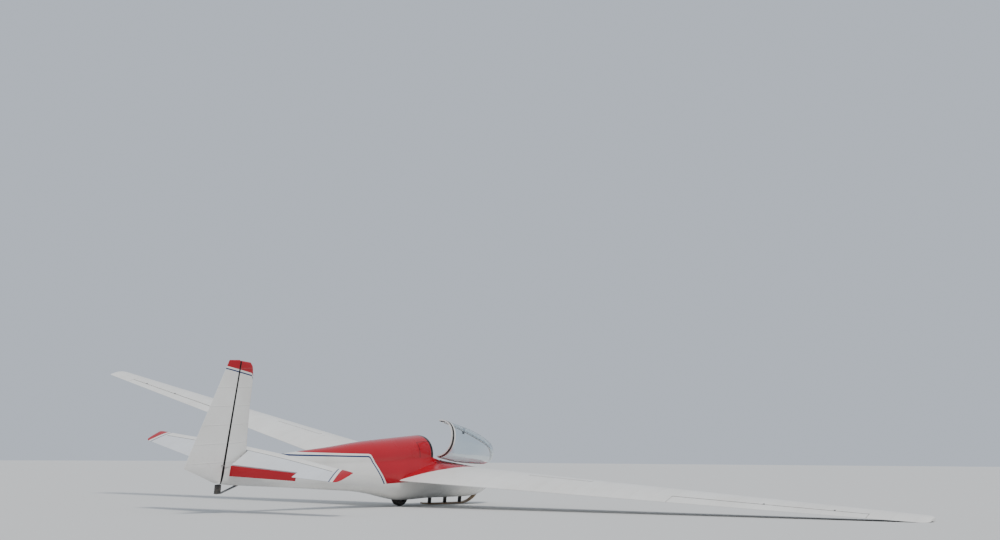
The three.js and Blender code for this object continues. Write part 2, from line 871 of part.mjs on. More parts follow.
function buildTailplane() {
  const tail = new THREE.Group();
  tail.position.copy(at(TAIL_PIVOT[0], 0, TAIL_PIVOT[1]));
  tail.rotation.x = -TAIL_DROOP;
  airframe.add(tail);
  const tubeCut = rod(at(0, -400, 0), at(0, 400, 0), TUBE_RADIUS + GAP);
  const mirrored = NOTCH.map(([f, p]) => [f, -p]).reverse();
  const notch = planPrism([...NOTCH, ...mirrored], -200, 200);
  const half = (side) =>
    loft(TAIL_RINGS.map((row) => tailRing(side, row)))
      .subtract(tubeCut)
      .subtract(notch);
  addPiece("port_tailplane", half(1), WHITE, tail);

  const bayFront = (port) => [tabHinge(port) + TAB_NOSE + TAB_BAY_GAP, -port];
  const bayIn = TAB_INNER - MOVING_GAP;
  const bay = planPrism(
    [bayFront(bayIn), bayFront(TAB_OUTER), [-900, -TAB_OUTER], [-900, -bayIn]],
    -200,
    200,
  );
  addPiece("starboard_tailplane", half(-1).subtract(bay), WHITE, tail);

  const inner = at(tabHinge(TAB_INNER), -TAB_INNER, 0);
  const outerEnd = at(tabHinge(TAB_OUTER), -TAB_OUTER, 0);
  const axis = inner.clone().sub(outerEnd).normalize();
  const tab = new THREE.Group();
  tab.position.copy(inner);
  tab.quaternion.setFromAxisAngle(axis, -TAB_DROOP);
  tail.add(tab);
  const blade = loft([TAB_INNER + 2, TAB_OUTER - MOVING_GAP].map((port) => tabRing(-port)));
  const hung = blade.translate([-inner.x, -inner.y, -inner.z]);
  addPiece("starboard_tab", hung, RED, tab);

  const tube = rod(at(0, -380, 0), at(0, 380, 0), TUBE_RADIUS);
  addPiece("tailplane_tube", tube, STEEL, tail);
}

// Main wheel with its hub, axle and side plates. A profile is [radius, distance to port].
const HUB_RADIUS = 96;
const AXLE_RADIUS = 11;
const AXLE_HALF_LENGTH = 88;
const HALF_TYRE = [
  [HUB_RADIUS, 0.62],
  [WHEEL_RADIUS - 42, 1],
  [WHEEL_RADIUS - 16, 0.86],
  [WHEEL_RADIUS - 4, 0.5],
  [WHEEL_RADIUS, 0.2],
].map(([r, share]) => [r, -share * WHEEL_HALF_WIDTH]);
const HALF_HUB = [
  [14, -48],
  [34, -48],
  [40, -20],
  [80, -24],
  [HUB_RADIUS - 0.4, -0.6 * WHEEL_HALF_WIDTH],
];
const PLATE = { halfLength: 45, inner: 76, outer: 84, top: -320, below: 45 };

// A ring turned about the axle, from one half of its profile.
function turned(half) {
  const mirrored = half.map(([r, p]) => [r, -p]).reverse();
  const points = [...half, ...mirrored, half[0]].map(([r, p]) => new THREE.Vector2(r, p));
  const made = new THREE.LatheGeometry(points, 36);
  made.rotateZ(Math.PI / 2);
  return solid(facingOut(mergedIndex(made)));
}

function buildWheel() {
  const wheel = new THREE.Group();
  wheel.position.copy(at(WHEEL_FORWARD, 0, WHEEL_UP));
  airframe.add(wheel);
  addPiece("main_tyre", turned(HALF_TYRE), RUBBER, wheel);
  addPiece("main_wheel_hub", turned(HALF_HUB), STEEL, wheel);

  const axle = rod(at(0, -AXLE_HALF_LENGTH, 0), at(0, AXLE_HALF_LENGTH, 0), AXLE_RADIUS);
  addPiece("main_axle", axle, DARK_STEEL, wheel);
  const hole = rod(
    at(WHEEL_FORWARD, -SLOT_HALF_WIDTH, WHEEL_UP),
    at(WHEEL_FORWARD, SLOT_HALF_WIDTH, WHEEL_UP),
    AXLE_RADIUS + 0.4,
  );
  for (const [name, side] of SIDES) {
    const faces = [side * PLATE.inner, side * PLATE.outer].sort((a, b) => a - b);
    const plate = block(
      WHEEL_FORWARD - PLATE.halfLength,
      WHEEL_FORWARD + PLATE.halfLength,
      ...faces,
      WHEEL_UP - PLATE.below,
      PLATE.top,
    );
    addPiece(`${name}_wheel_plate`, plate.subtract(hole), DARK_STEEL);
  }
}

// A lathe's seam is closed by merging its doubled points.
function mergedIndex(geometry) {
  geometry.deleteAttribute("normal");
  geometry.deleteAttribute("uv");
  return mergeVertices(geometry, 1e-3);
}

// Nose skid on rubber blocks. Its sole lies flat on the ground between two places.
const sole = (f) => groundUp(f) + SKID_HALF_WIDTH * Math.tan(PARKED_BANK);
const SKID_LINE = [
  [1180, -540],
  [1360, -562],
  [1620, sole(1620)],
  [2350, sole(2350)],
  [2560, -612],
  [2720, -545],
  [2800, -480],
];
const SKID_THICKNESS = 24;
const SKID_BLOCKS = [
  ["rear_skid_block", 1400],
  ["middle_skid_block", 1850],
  ["front_skid_block", 2300],
];
const SKID_BLOCK_RADIUS = 34;

function buildNoseSkid() {
  const raised = (extra) => SKID_LINE.map(([f, u]) => [f, u + SKID_THICKNESS + extra]);
  const runner = sidePrism(
    [...SKID_LINE, ...raised(0).reverse()],
    -SKID_HALF_WIDTH,
    SKID_HALF_WIDTH,
  );
  addPiece("nose_skid", runner.subtract(outer), WOOD);
  const above = sidePrism([...raised(GAP + 1), [2800, 200], [1180, 200]], -OVERLAP, OVERLAP);
  const belly = fuselageSolid(900, 2800, -GAP);
  for (const [name, f] of SKID_BLOCKS) {
    const post = rod(at(f, 0, -700), at(f, 0, -300), SKID_BLOCK_RADIUS);
    addPiece(name, post.intersect(above).subtract(belly), RUBBER);
  }
}

// Tail skid: a leaf spring below the boom, with a rubber shoe at its end.
const SPRING = [
  [-3310, 168],
  [-3636, 74],
  [-3742, 74],
  [-3742, 82],
  [-3634, 82],
  [-3310, 182],
];
const SPRING_HALF_WIDTH = 24;
const SHOE = [-3740, -3642, -30, 30, 82 + GAP, 210];

function buildTailSkid() {
  const spring = sidePrism(SPRING, -SPRING_HALF_WIDTH, SPRING_HALF_WIDTH);
  addPiece("tail_skid_spring", spring.subtract(outer), DARK_STEEL);
  const boomEnd = fuselageSolid(-3700, -2900, -GAP).subtract(
    aftOfHinge(BOOM_END_AHEAD - GAP),
  );
  addPiece("tail_skid_shoe", block(...SHOE).subtract(boomEnd), RUBBER);
}

// Cockpit fittings: two seats side by side, one a little behind the other.
// Seat outlines are [forward of the hip, up].
const SEATS = [
  ["port", 1, 1230],
  ["starboard", -1, 1130],
];
const SEAT_SIDES = [22, 330];
const CUSHION_INSET = 12;
const SEAT_PAN = [
  [2, -330],
  [420, -262],
  [420, -274],
  [-8, -344],
  [-138, 170],
  [-128, 176],
];
const SEAT_CUSHION = [
  [46, -318],
  [405, -260],
  [405, -205],
  [46, -262],
];
const BACK_CUSHION = [
  [10, -312],
  [-106, 150],
  [-62, 162],
  [40, -250],
];
const FLOOR = [1010, 2600, -400, 400, -372, -360];
const STICK = { foot: [520, -358], top: [470, 10], radius: 11 };
const PEDALS = { forward: 2330, up: -300, top: -150, radius: 10, reach: [60, 280] };
const PEDAL_PLACES = [90, 200];
const PEDAL_WIDTH = 60;
const PEDAL_HALF_THICKNESS = 12;
const PANEL = [
  [2160, -40],
  [2176, -40],
  [2150, 90],
  [2134, 90],
];
const PANEL_HALF_WIDTH = 235;

function buildSeat(name, side, hip, inside) {
  const [near, far] = SEAT_SIDES;
  const shaped = (outline, inset) =>
    sidePrism(
      outline.map(([f, u]) => [hip + f, u]),
      side * (near + inset),
      side * (far - inset),
    ).intersect(inside);
  addPiece(`${name}_seat_pan`, shaped(SEAT_PAN, 0), WOOD);
  addPiece(`${name}_seat_cushion`, shaped(SEAT_CUSHION, CUSHION_INSET), CLOTH);
  addPiece(`${name}_back_cushion`, shaped(BACK_CUSHION, CUSHION_INSET), CLOTH);
}

function buildControls(name, side, hip, inside) {
  const middle = (side * (SEAT_SIDES[0] + SEAT_SIDES[1])) / 2;
  const [foot, top] = [STICK.foot, STICK.top].map(([f, u]) => at(hip + f, middle, u));
  addPiece(`${name}_stick`, rod(foot, top, STICK.radius), PANEL_BLACK);

  const { forward, up, radius, reach } = PEDALS;
  const [inner, outerEnd] = reach.map((p) => at(forward, side * p, up));
  let pedals = rod(inner, outerEnd, radius);
  for (const place of PEDAL_PLACES) {
    const faces = [side * place, side * (place + PEDAL_WIDTH)].sort((a, b) => a - b);
    const [rear, front] = [forward - PEDAL_HALF_THICKNESS, forward + PEDAL_HALF_THICKNESS];
    pedals = pedals.add(block(rear, front, ...faces, up, PEDALS.top));
  }
  addPiece(`${name}_pedals`, pedals.intersect(inside), STEEL);
}

function buildCockpit() {
  const inside = fuselageSolid(BULKHEAD - OVERLAP, INSIDE_END, WALL + 3);
  addPiece("cockpit_floor", block(...FLOOR).intersect(inside), WOOD);
  for (const [name, side, hip] of SEATS) {
    buildSeat(name, side, hip, inside);
    buildControls(name, side, hip, inside);
  }
  const panel = sidePrism(PANEL, -PANEL_HALF_WIDTH, PANEL_HALF_WIDTH);
  addPiece("instrument_panel", panel.intersect(inside), PANEL_BLACK);
}

buildFuselage();
buildCanopy();
for (const [name, side] of SIDES) buildWing(side, name);
buildFin();
buildTailplane();
buildWheel();
buildNoseSkid();
buildTailSkid();
buildCockpit();

// The frame's origin is the middle of the parked machine's box, on the ground.
sailplane.updateMatrixWorld(true);
const box = new THREE.Box3().setFromObject(sailplane, true);
const middle = box.getCenter(new THREE.Vector3());
banked.position.set(-middle.x, -middle.y, -box.min.z);

export default sailplane;
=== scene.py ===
"""The looks of a parked two-seat wooden sailplane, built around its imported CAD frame.

Shapes are worked out in the airframe's own axes (millimetres forward of the wing's trailing
edge, to port and up) and are then turned and moved to where the parked machine stands.
"""

import logging
import math
from dataclasses import dataclass
from enum import Enum
from typing import Callable, Optional, Sequence, Union

import bpy
import numpy as np
from mathutils import Matrix, Vector


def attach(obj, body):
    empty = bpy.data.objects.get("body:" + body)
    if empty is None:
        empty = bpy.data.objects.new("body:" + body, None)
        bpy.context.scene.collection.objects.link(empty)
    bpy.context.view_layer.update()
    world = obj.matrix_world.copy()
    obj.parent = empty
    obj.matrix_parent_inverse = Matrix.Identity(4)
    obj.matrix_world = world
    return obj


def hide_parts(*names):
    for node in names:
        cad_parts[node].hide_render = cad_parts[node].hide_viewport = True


logging.basicConfig(level=logging.INFO, format="%(message)s")
LOG = logging.getLogger("sailplane")

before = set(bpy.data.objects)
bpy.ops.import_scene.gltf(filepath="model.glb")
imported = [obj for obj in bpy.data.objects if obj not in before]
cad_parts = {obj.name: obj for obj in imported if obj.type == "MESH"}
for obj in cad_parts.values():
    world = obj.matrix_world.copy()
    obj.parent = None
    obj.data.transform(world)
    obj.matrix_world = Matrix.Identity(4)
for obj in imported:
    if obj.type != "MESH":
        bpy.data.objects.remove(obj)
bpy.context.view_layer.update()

# How the machine stands: its own origin in the frame, in metres, and its two lean angles.
BODY_ORIGIN = np.array([0.13225, -0.58634, 0.47201])
BANK = 0.1472
PITCH = 0.0699

WALL = 22.0
SKIN_GAP = 0.3
MOVING_GAP = 8.0
HALF_SPAN = 9075.0
ROOT_CHORD = 1451.0
TIP_CHORD = 480.0
TIP_TRAILING_EDGE = 958.0
DIHEDRAL = 0.0882
ROOT_INCIDENCE = 0.0606
TIP_INCIDENCE = 0.0205
NOSE_TIP = 3220.0
TAIL_END = -3700.0
BULKHEAD = 985.0
WHEEL_FORWARD = 550.0
WHEEL_RADIUS = 190.0
GROUND_AT_ORIGIN = 472.0

# Blowing up the cushions: mesh squares and the farthest move in metres, pressure, frames.
CLOTH_SQUARE = 0.0075
CLOTH_CAP = 0.024
CLOTH_PRESSURE = 4.0
CLOTH_FRAMES = 20

RED = (0.42, 0.006, 0.016, 1.0)
WHITE = (0.80, 0.79, 0.76, 1.0)
BLUE = (0.010, 0.028, 0.11, 1.0)
STAIN = (0.45, 0.40, 0.33, 1.0)
TAPE = (0.55, 0.54, 0.5, 1.0)
# Painted shade: a dark colour laid on the faces on each side of the rudder gap, standing in for the shade
# inside the gap.
GAP_SHADE = (0.03, 0.03, 0.03, 1.0)

Points = np.ndarray
Obj = bpy.types.Object


class Side(Enum):
    """Port or starboard, with the sign of its port coordinate."""

    PORT = 1
    STARBOARD = -1

    @property
    def label(self) -> str:
        """The side's name as the CAD nodes spell it."""
        return self.name.lower()


class Cut(Enum):
    """What a boolean does with its two solids."""

    AWAY = "DIFFERENCE"
    KEEP = "INTERSECT"


# Places and meshes


def turn_matrix() -> np.ndarray:
    """The rotation from the airframe's axes (port, aft, up) to the frame's axes."""
    cb, sb = math.cos(-BANK), math.sin(-BANK)
    cp, sp = math.cos(-PITCH), math.sin(-PITCH)
    bank = np.array([[cb, 0, sb], [0, 1, 0], [-sb, 0, cb]])
    pitch = np.array([[1, 0, 0], [0, cp, -sp], [0, sp, cp]])
    return bank @ pitch


TURN = turn_matrix()


def place(points: Points) -> Points:
    """Moves airframe points to the frame.

    Args:
        points: (..., 3) forward, port and up, in millimetres.

    Returns:
        (..., 3) positions in the frame, in metres.
    """
    p = np.asarray(points, float) / 1000
    local = np.stack([p[..., 1], -p[..., 0], p[..., 2]], axis=-1)
    return local @ TURN.T + BODY_ORIGIN


def unplace(points: Points) -> Points:
    """Moves frame positions in metres back to forward, port and up, in metres."""
    local = (np.asarray(points, float) - BODY_ORIGIN) @ TURN
    return np.stack([-local[..., 1], local[..., 0], local[..., 2]], axis=-1)


def curve(table: Sequence[Sequence[float]]) -> Callable[[Points], Points]:
    """A smooth curve through a short table: a cubic between rows, with slopes from neighbours.

    Args:
        table: rows of place and value, in rising order of place.

    Returns:
        A function from places to values, held level past both ends.
    """
    rows = np.array(table, float)
    x, y = rows[:, 0], rows[:, 1]
    before = np.concatenate([[0], np.arange(len(x) - 1)])
    after = np.concatenate([np.arange(1, len(x)), [len(x) - 1]])
    slope = (y[after] - y[before]) / (x[after] - x[before])

    def value(at: Points) -> Points:
        v = np.asarray(at, float)
        i = np.clip(np.searchsorted(x, v, side="right") - 1, 0, len(x) - 2)
        h = x[i + 1] - x[i]
        t = np.clip((v - x[i]) / h, 0, 1)
        rise = t * t * (3 - 2 * t)
        bend = t * (1 - t) ** 2 * h * slope[i] + t * t * (t - 1) * h * slope[i + 1]
        return y[i] + (y[i + 1] - y[i]) * rise + bend

    return value


def mix(a: Points, b: Points, t: Points) -> Points:
    """The value a share t of the way from a to b."""
    return a + (b - a) * t


def signed_power(value: Points, power: float) -> Points:
    """A power of each number's size, with its sign kept: it squares up a circle's two waves."""
    return np.sign(value) * np.abs(value) ** power


def grid_faces(rows: int, columns: int, around: bool) -> np.ndarray:
    """Quads between neighbouring rows of a grid of points, joined round where asked."""
    last = columns if around else columns - 1
    r, c = np.meshgrid(np.arange(rows - 1), np.arange(last), indexing="ij")
    d = (c + 1) % columns
    here, above = r * columns, (r + 1) * columns
    quads = np.stack([here + c, here + d, above + d, above + c], axis=-1)
    return quads.reshape(-1, 4)


def new_mesh(name: str, points: Points, faces: list) -> Obj:
    """Puts points in metres and their faces into a new smooth-shaded object."""
    mesh = bpy.data.meshes.new(name)
    mesh.from_pydata(np.asarray(points, float).reshape(-1, 3).tolist(), [], faces)
    mesh.validate()
    obj = bpy.data.objects.new(name, mesh)
    bpy.context.scene.collection.objects.link(obj)
    return shade(obj)


def shade(obj: Obj, angle: float = 32.0) -> Obj:
    """Smooth shading, with an edge kept sharp where its faces meet past an angle in degrees."""
    mesh = obj.data
    mesh.polygons.foreach_set("use_smooth", np.ones(len(mesh.polygons), bool))
    mesh.set_sharp_from_angle(angle=math.radians(angle))
    mesh.update()
    return obj


def signed_volume(points: Points, faces: list) -> float:
    """Six times the enclosed volume of polygons cut into fans, negative if they face inwards."""
    p = np.asarray(points, float).reshape(-1, 3)
    total = 0.0
    for size in {len(face) for face in faces}:
        f = np.array([face for face in faces if len(face) == size])
        for k in range(1, size - 1):
            total += np.einsum("ij,ij->i", p[f[:, 0]], np.cross(p[f[:, k]], p[f[:, k + 1]])).sum()
    return float(total)


def outward(points: Points, faces: list) -> list:
    """The same faces, turned over if they enclose a negative volume."""
    if signed_volume(points, faces) < 0:
        return [tuple(reversed(face)) for face in faces]
    return faces


def loft(name: str, rings: Points) -> Obj:
    """A closed solid through rings of equal length, each end closed by a fan round its middle.

    Args:
        name: the object's name.
        rings: (rings, points, 3) in airframe millimetres.

    Returns:
        The new object.
    """
    p = place(rings)
    n, m = p.shape[:2]
    middles = np.stack([p[0].mean(0), p[-1].mean(0)])
    points = np.concatenate([p.reshape(-1, 3), middles])
    i = np.arange(m)
    j = (i + 1) % m
    first = np.stack([np.full(m, n * m), j, i], axis=-1)
    last = np.stack([np.full(m, n * m + 1), (n - 1) * m + i, (n - 1) * m + j], axis=-1)
    faces = [tuple(f) for f in grid_faces(n, m, True).tolist()]
    faces += [tuple(f) for f in first.tolist()] + [tuple(f) for f in last.tolist()]
    return new_mesh(name, points, outward(points, faces))


def lathe(name: str, profile: Points, centre: Points, axis: Points, segments: int = 72) -> Obj:
    """A profile of (along, radius) rows turned about an axis; its first and last rows meet.

    Args:
        name: the object's name.
        profile: (n, 2) millimetres along the axis and out from it, as a closed outline.
        centre: a point on the axis, in airframe millimetres.
        axis: the axis direction as forward, port and up.
        segments: points round the circle.

    Returns:
        The new object.
    """
    along = np.array(axis, float) / np.linalg.norm(axis)
    side = np.cross(along, [1.0, 0.0, 0.0] if abs(along[0]) < 0.9 else [0.0, 1.0, 0.0])
    side /= np.linalg.norm(side)
    other = np.cross(along, side)
    t = np.linspace(0, 2 * np.pi, segments, endpoint=False)
    radial = np.cos(t)[:, None] * side + np.sin(t)[:, None] * other
    prof = np.asarray(profile, float)
    rings = np.array(centre, float) + prof[None, :, :1] * along + prof[None, :, 1:] * radial[:, None, :]
    points = place(rings)
    faces = [tuple(f) for f in grid_faces(segments + 1, len(prof), True).tolist()]
    total = segments * len(prof)
    faces = [tuple(v % total for v in face) for face in faces]
    return new_mesh(name, points, outward(points, faces))


def tube(name: str, path: Points, radii: Points, sides: int = 20) -> Obj:
    """A round rod carried along a path of airframe points, with its own radius at each."""
    p = np.asarray(path, float)
    r = np.broadcast_to(np.asarray(radii, float), (len(p),))
    along = np.gradient(p, axis=0)
    along /= np.linalg.norm(along, axis=1)[:, None]
    helper = np.array([0.0, 1.0, 0.0]) if abs(along[0][1]) < 0.8 else np.array([1.0, 0.0, 0.0])
    side = np.cross(along, helper)
    side /= np.linalg.norm(side, axis=1)[:, None]
    other = np.cross(along, side)
    t = np.linspace(0, 2 * np.pi, sides, endpoint=False)
    ring = np.cos(t)[None, :, None] * side[:, None] + np.sin(t)[None, :, None] * other[:, None]
    return loft(name, p[:, None] + ring * r[:, None, None])


def prism(name: str, outline: Points, low: float, high: float, across: bool) -> Obj:
    """A flat outline carried straight: across the machine, or upwards.

    Args:
        name: the object's name.
        outline: (n, 2) rows of forward and up where across, otherwise forward and port.
        low: where the prism starts.
        high: where it ends.
        across: whether it runs from side to side.

    Returns:
        The new object, with flat many-sided ends.
    """
    o = np.asarray(outline, float)
    ends = []
    for level in (low, high):
        flat = np.full(len(o), level)
        ends.append(np.stack([o[:, 0], flat, o[:, 1]] if across else [o[:, 0], o[:, 1], flat], axis=-1))
    points = place(np.concatenate(ends))
    n = len(o)
    faces = [tuple(range(n))[::-1], tuple(range(n, 2 * n))]
    faces += [(i, (i + 1) % n, n + (i + 1) % n, n + i) for i in range(n)]
    return new_mesh(name, points, outward(points, faces))


def carve(obj: Obj, cutter: Obj, cut: Cut = Cut.AWAY) -> Obj:
    """Cuts a solid with another one and bakes the result into its mesh.

    Args:
        obj: the solid that is changed.
        cutter: the solid that cuts, deleted afterwards.
        cut: which part stays.

    Returns:
        The changed solid.
    """
    modifier = obj.modifiers.new("cut", "BOOLEAN")
    modifier.operation = cut.value
    modifier.solver = "MANIFOLD"
    modifier.object = cutter
    graph = bpy.context.evaluated_depsgraph_get()
    made = bpy.data.meshes.new_from_object(obj.evaluated_get(graph))
    if not made.polygons:
        modifier.solver = "EXACT"
        graph = bpy.context.evaluated_depsgraph_get()
        made = bpy.data.meshes.new_from_object(obj.evaluated_get(graph))
    obj.modifiers.clear()
    old = obj.data
    obj.data = made
    bpy.data.meshes.remove(old)
    bpy.data.objects.remove(cutter)
    return shade(obj)


def copy_of(obj: Obj, name: str) -> Obj:
    """A second object with its own copy of the mesh."""
    twin = bpy.data.objects.new(name, obj.data.copy())
    bpy.context.scene.collection.objects.link(twin)
    return twin


def rounded(obj: Obj, width_mm: float, segments: int = 2, angle: float = 30.0) -> Obj:
    """Bevels the edges that are sharper than an angle, as a live modifier."""
    modifier = obj.modifiers.new("round", "BEVEL")
    modifier.width = width_mm / 1000
    modifier.segments = segments
    modifier.limit_method = "ANGLE"
    modifier.angle_limit = math.radians(angle)
    modifier.harden_normals = False
    return obj


def stamp(obj: Obj) -> None:
    """Writes each vertex's forward, port and up, in metres, as the attribute that paint lines read."""
    mesh = obj.data
    co = np.empty(len(mesh.vertices) * 3, np.float32)
    mesh.vertices.foreach_get("co", co)
    attribute = mesh.attributes.get("airframe") or mesh.attributes.new("airframe", "FLOAT_VECTOR", "POINT")
    attribute.data.foreach_set("vector", unplace(co.reshape(-1, 3)).astype(np.float32).ravel())


# Shader nodes

class Signal:
    """A shader output that takes part in arithmetic: every operation adds one math node."""

    def __init__(self, tree: "NodeTree", socket: bpy.types.NodeSocket) -> None:
        """Keeps the tree and the output."""
        self.tree = tree
        self.socket = socket

    def __add__(self, other: "Term") -> "Signal":
        """The sum."""
        return self.tree.math("ADD", self, other)

    def __sub__(self, other: "Term") -> "Signal":
        """The difference."""
        return self.tree.math("SUBTRACT", self, other)

    def __rsub__(self, other: float) -> "Signal":
        """A number less the signal."""
        return self.tree.math("SUBTRACT", other, self)

    def __mul__(self, other: "Term") -> "Signal":
        """The product."""
        return self.tree.math("MULTIPLY", self, other)

    def __abs__(self) -> "Signal":
        """The size without its sign."""
        return self.tree.math("ABSOLUTE", self)

    def past(self, edge: "Term", soft: float = 0.003) -> "Signal":
        """0 below an edge and 1 above it, over a soft width."""
        return self.tree.math("MULTIPLY_ADD", self - edge, 1.0 / soft, 0.5, clamp=True)

    def before(self, edge: "Term", soft: float = 0.003) -> "Signal":
        """1 below an edge and 0 above it, over a soft width."""
        return 1.0 - self.past(edge, soft)


Term = Union[Signal, float, tuple]
Look = tuple[Term, Optional[Signal]]


class NodeTree:
    """A thin helper that adds and links shader nodes by name."""

    def __init__(self, tree: bpy.types.NodeTree) -> None:
        """Keeps the tree that nodes are added to."""
        self.tree = tree

    def feed(self, node: bpy.types.Node, values: dict) -> None:
        """Sets inputs from numbers and colours, or links them to signals."""
        for key, value in values.items():
            if isinstance(value, Signal):
                self.tree.links.new(value.socket, node.inputs[key])
            else:
                node.inputs[key].default_value = value

    def add(self, kind: str, inputs: dict, **properties: object) -> bpy.types.Node:
        """Adds a node, sets its properties and then feeds its inputs."""
        node = self.tree.nodes.new(kind)
        for key, value in properties.items():
            setattr(node, key, value)
        self.feed(node, inputs)
        return node

    def signal(self, kind: str, output: Union[int, str], inputs: dict, **properties: object) -> Signal:
        """Adds a node and gives one of its outputs."""
        return Signal(self, self.add(kind, inputs, **properties).outputs[output])

    def math(self, operation: str, *terms: Term, clamp: bool = False) -> Signal:
        """One step of arithmetic on numbers or signals."""
        inputs = dict(enumerate(terms))
        return self.signal("ShaderNodeMath", 0, inputs, operation=operation, use_clamp=clamp)

    def mix(self, mask: Term, a: Term, b: Term, blend: str = "MIX") -> Signal:
        """Colour a where the mask is 0 and colour b where it is 1."""
        inputs = {0: mask, 6: a, 7: b}
        return self.signal("ShaderNodeMix", 2, inputs, data_type="RGBA", blend_type=blend)

    def layers(self, base: Term, *rows: tuple[Signal, Term]) -> Term:
        """Lays colours over a base in turn, each where its mask is 1."""
        for mask, colour in rows:
            base = self.mix(mask, base, colour)
        return base

    def where(self) -> Signal:
        """Object coordinates."""
        return self.signal("ShaderNodeTexCoord", "Object", {})

    def noise(self, vector: Signal, scale: Term, detail: float = 4.0, rough: float = 0.55) -> Signal:
        """Noise between 0 and 1."""
        inputs = {"Vector": vector, "Scale": scale, "Detail": detail, "Roughness": rough}
        return self.signal("ShaderNodeTexNoise", "Fac", inputs)

    def split(self, vector: Signal) -> tuple[Signal, ...]:
        """The three parts of a vector."""
        return tuple(Signal(self, out) for out in self.add("ShaderNodeSeparateXYZ", {0: vector}).outputs)

    def airframe(self) -> tuple[Signal, ...]:
        """Forward, port and up of each point, in metres along the airframe's axes."""
        return self.split(self.signal("ShaderNodeAttribute", "Vector", {}, attribute_name="airframe"))

    def use(self, tree: bpy.types.ShaderNodeTree, inputs: dict) -> dict[str, Signal]:
        """Places a node group with its own values and gives its outputs by name."""
        node = self.add("ShaderNodeGroup", {}, node_tree=tree)
        self.feed(node, inputs)
        return {out.name: Signal(self, out) for out in node.outputs}

    def bump(self, shader: bpy.types.Node, height: Term, strength: float, distance: float) -> None:
        """Gives the shader a bumped normal."""
        inputs = {"Strength": strength, "Distance": distance, "Height": height}
        self.feed(shader, {"Normal": self.signal("ShaderNodeBump", "Normal", inputs)})


def group(name: str, inputs: dict, outputs: dict) -> tuple[NodeTree, dict[str, Signal]]:
    """Starts a shader node group with named sockets.

    Args:
        name: the group's name.
        inputs: a default value, a number or a colour, for each socket's name.
        outputs: the kind of each output, by its name.

    Returns:
        The tree helper, and the group's inputs by name.
    """
    tree = bpy.data.node_groups.new(name, "ShaderNodeTree")
    for label, value in inputs.items():
        kind = "NodeSocketColor" if isinstance(value, tuple) else "NodeSocketFloat"
        socket = tree.interface.new_socket(name=label, in_out="INPUT", socket_type=kind)
        socket.default_value = value
    for label, kind in outputs.items():
        tree.interface.new_socket(name=label, in_out="OUTPUT", socket_type=f"NodeSocket{kind}")
    n = NodeTree(tree)
    source = n.add("NodeGroupInput", {})
    return n, {label: Signal(n, source.outputs[label]) for label in inputs}


def weathering_group() -> bpy.types.ShaderNodeTree:
    """Age on paint: broad stains and fine specks tint the colour, roughen it and give it height."""
    inputs = {"Color": WHITE, "Stain": STAIN, "Amount": 0.2, "Scale": 3.0, "Roughness": 0.35}
    n, given = group("weathering", inputs, {"Color": "Color", "Roughness": "Float", "Height": "Float"})
    where = n.where()
    broad = n.noise(where, given["Scale"], 5.0, 0.5)
    fine = n.noise(where, given["Scale"] * 14.0, 3.0, 0.5)
    stained = broad.past(0.55, 0.35) * given["Amount"]
    specks = fine.past(0.66, 0.1) * given["Amount"]
    mask = n.math("MAXIMUM", stained, specks * 0.7)
    aged = {
        "Color": n.mix(mask, given["Color"], given["Stain"]),
        "Roughness": broad * 0.14 + (given["Roughness"] - 0.07),
        "Height": fine,
    }
    n.add("NodeGroupOutput", aged)
    return n.tree


def grain_group() -> bpy.types.ShaderNodeTree:
    """Wood grain: stretched noise along the machine's length, mixed between two browns."""
    inputs = {"Light": (0.5, 0.33, 0.17, 1.0), "Dark": (0.25, 0.14, 0.06, 1.0), "Scale": 30.0}
    n, given = group("wood_grain", inputs, {"Color": "Color", "Height": "Float"})
    stretched = n.signal("ShaderNodeMapping", "Vector", {"Vector": n.where(), "Scale": (1.0, 0.06, 1.0)})
    band = n.noise(stretched, given["Scale"], 6.0, 0.5).past(0.5, 0.4)
    n.add("NodeGroupOutput", {"Color": n.mix(band, given["Light"], given["Dark"]), "Height": band})
    return n.tree


def weave_group() -> bpy.types.ShaderNodeTree:
    """Woven cloth: crossed fine waves give the threads' height, and noise a soft fade."""
    inputs = {"Color": (0.1, 0.1, 0.1, 1.0), "Thread": (0.2, 0.2, 0.2, 1.0), "Scale": 260.0}
    n, given = group("weave", inputs, {"Color": "Color", "Height": "Float"})
    where = n.where()
    wave = {"Vector": where, "Scale": given["Scale"], "Distortion": 0.4}
    x, y, z = (n.signal("ShaderNodeTexWave", "Fac", wave, bands_direction=axis) for axis in "XYZ")
    threads = n.math("MAXIMUM", x * y, y * z)
    mask = n.math("MULTIPLY", threads + n.noise(where, 6.0), 0.5, clamp=True)
    n.add("NodeGroupOutput", {"Color": n.mix(mask, given["Color"], given["Thread"]), "Height": threads})
    return n.tree


def wear_group() -> bpy.types.ShaderNodeTree:
    """Edge wear: corners that stick out rub down to a second colour."""
    inputs = {"Color": (0.1, 0.1, 0.1, 1.0), "Bare": (0.5, 0.5, 0.5, 1.0), "Amount": 0.5}
    n, given = group("edge_wear", inputs, {"Color": "Color"})
    point = n.signal("ShaderNodeNewGeometry", "Pointiness", {})
    broken = n.noise(n.where(), 60.0) * 0.05 + point
    mask = broken.past(0.56, 0.04) * given["Amount"]
    n.add("NodeGroupOutput", {"Color": n.mix(mask, given["Color"], given["Bare"])})
    return n.tree


# Finishes


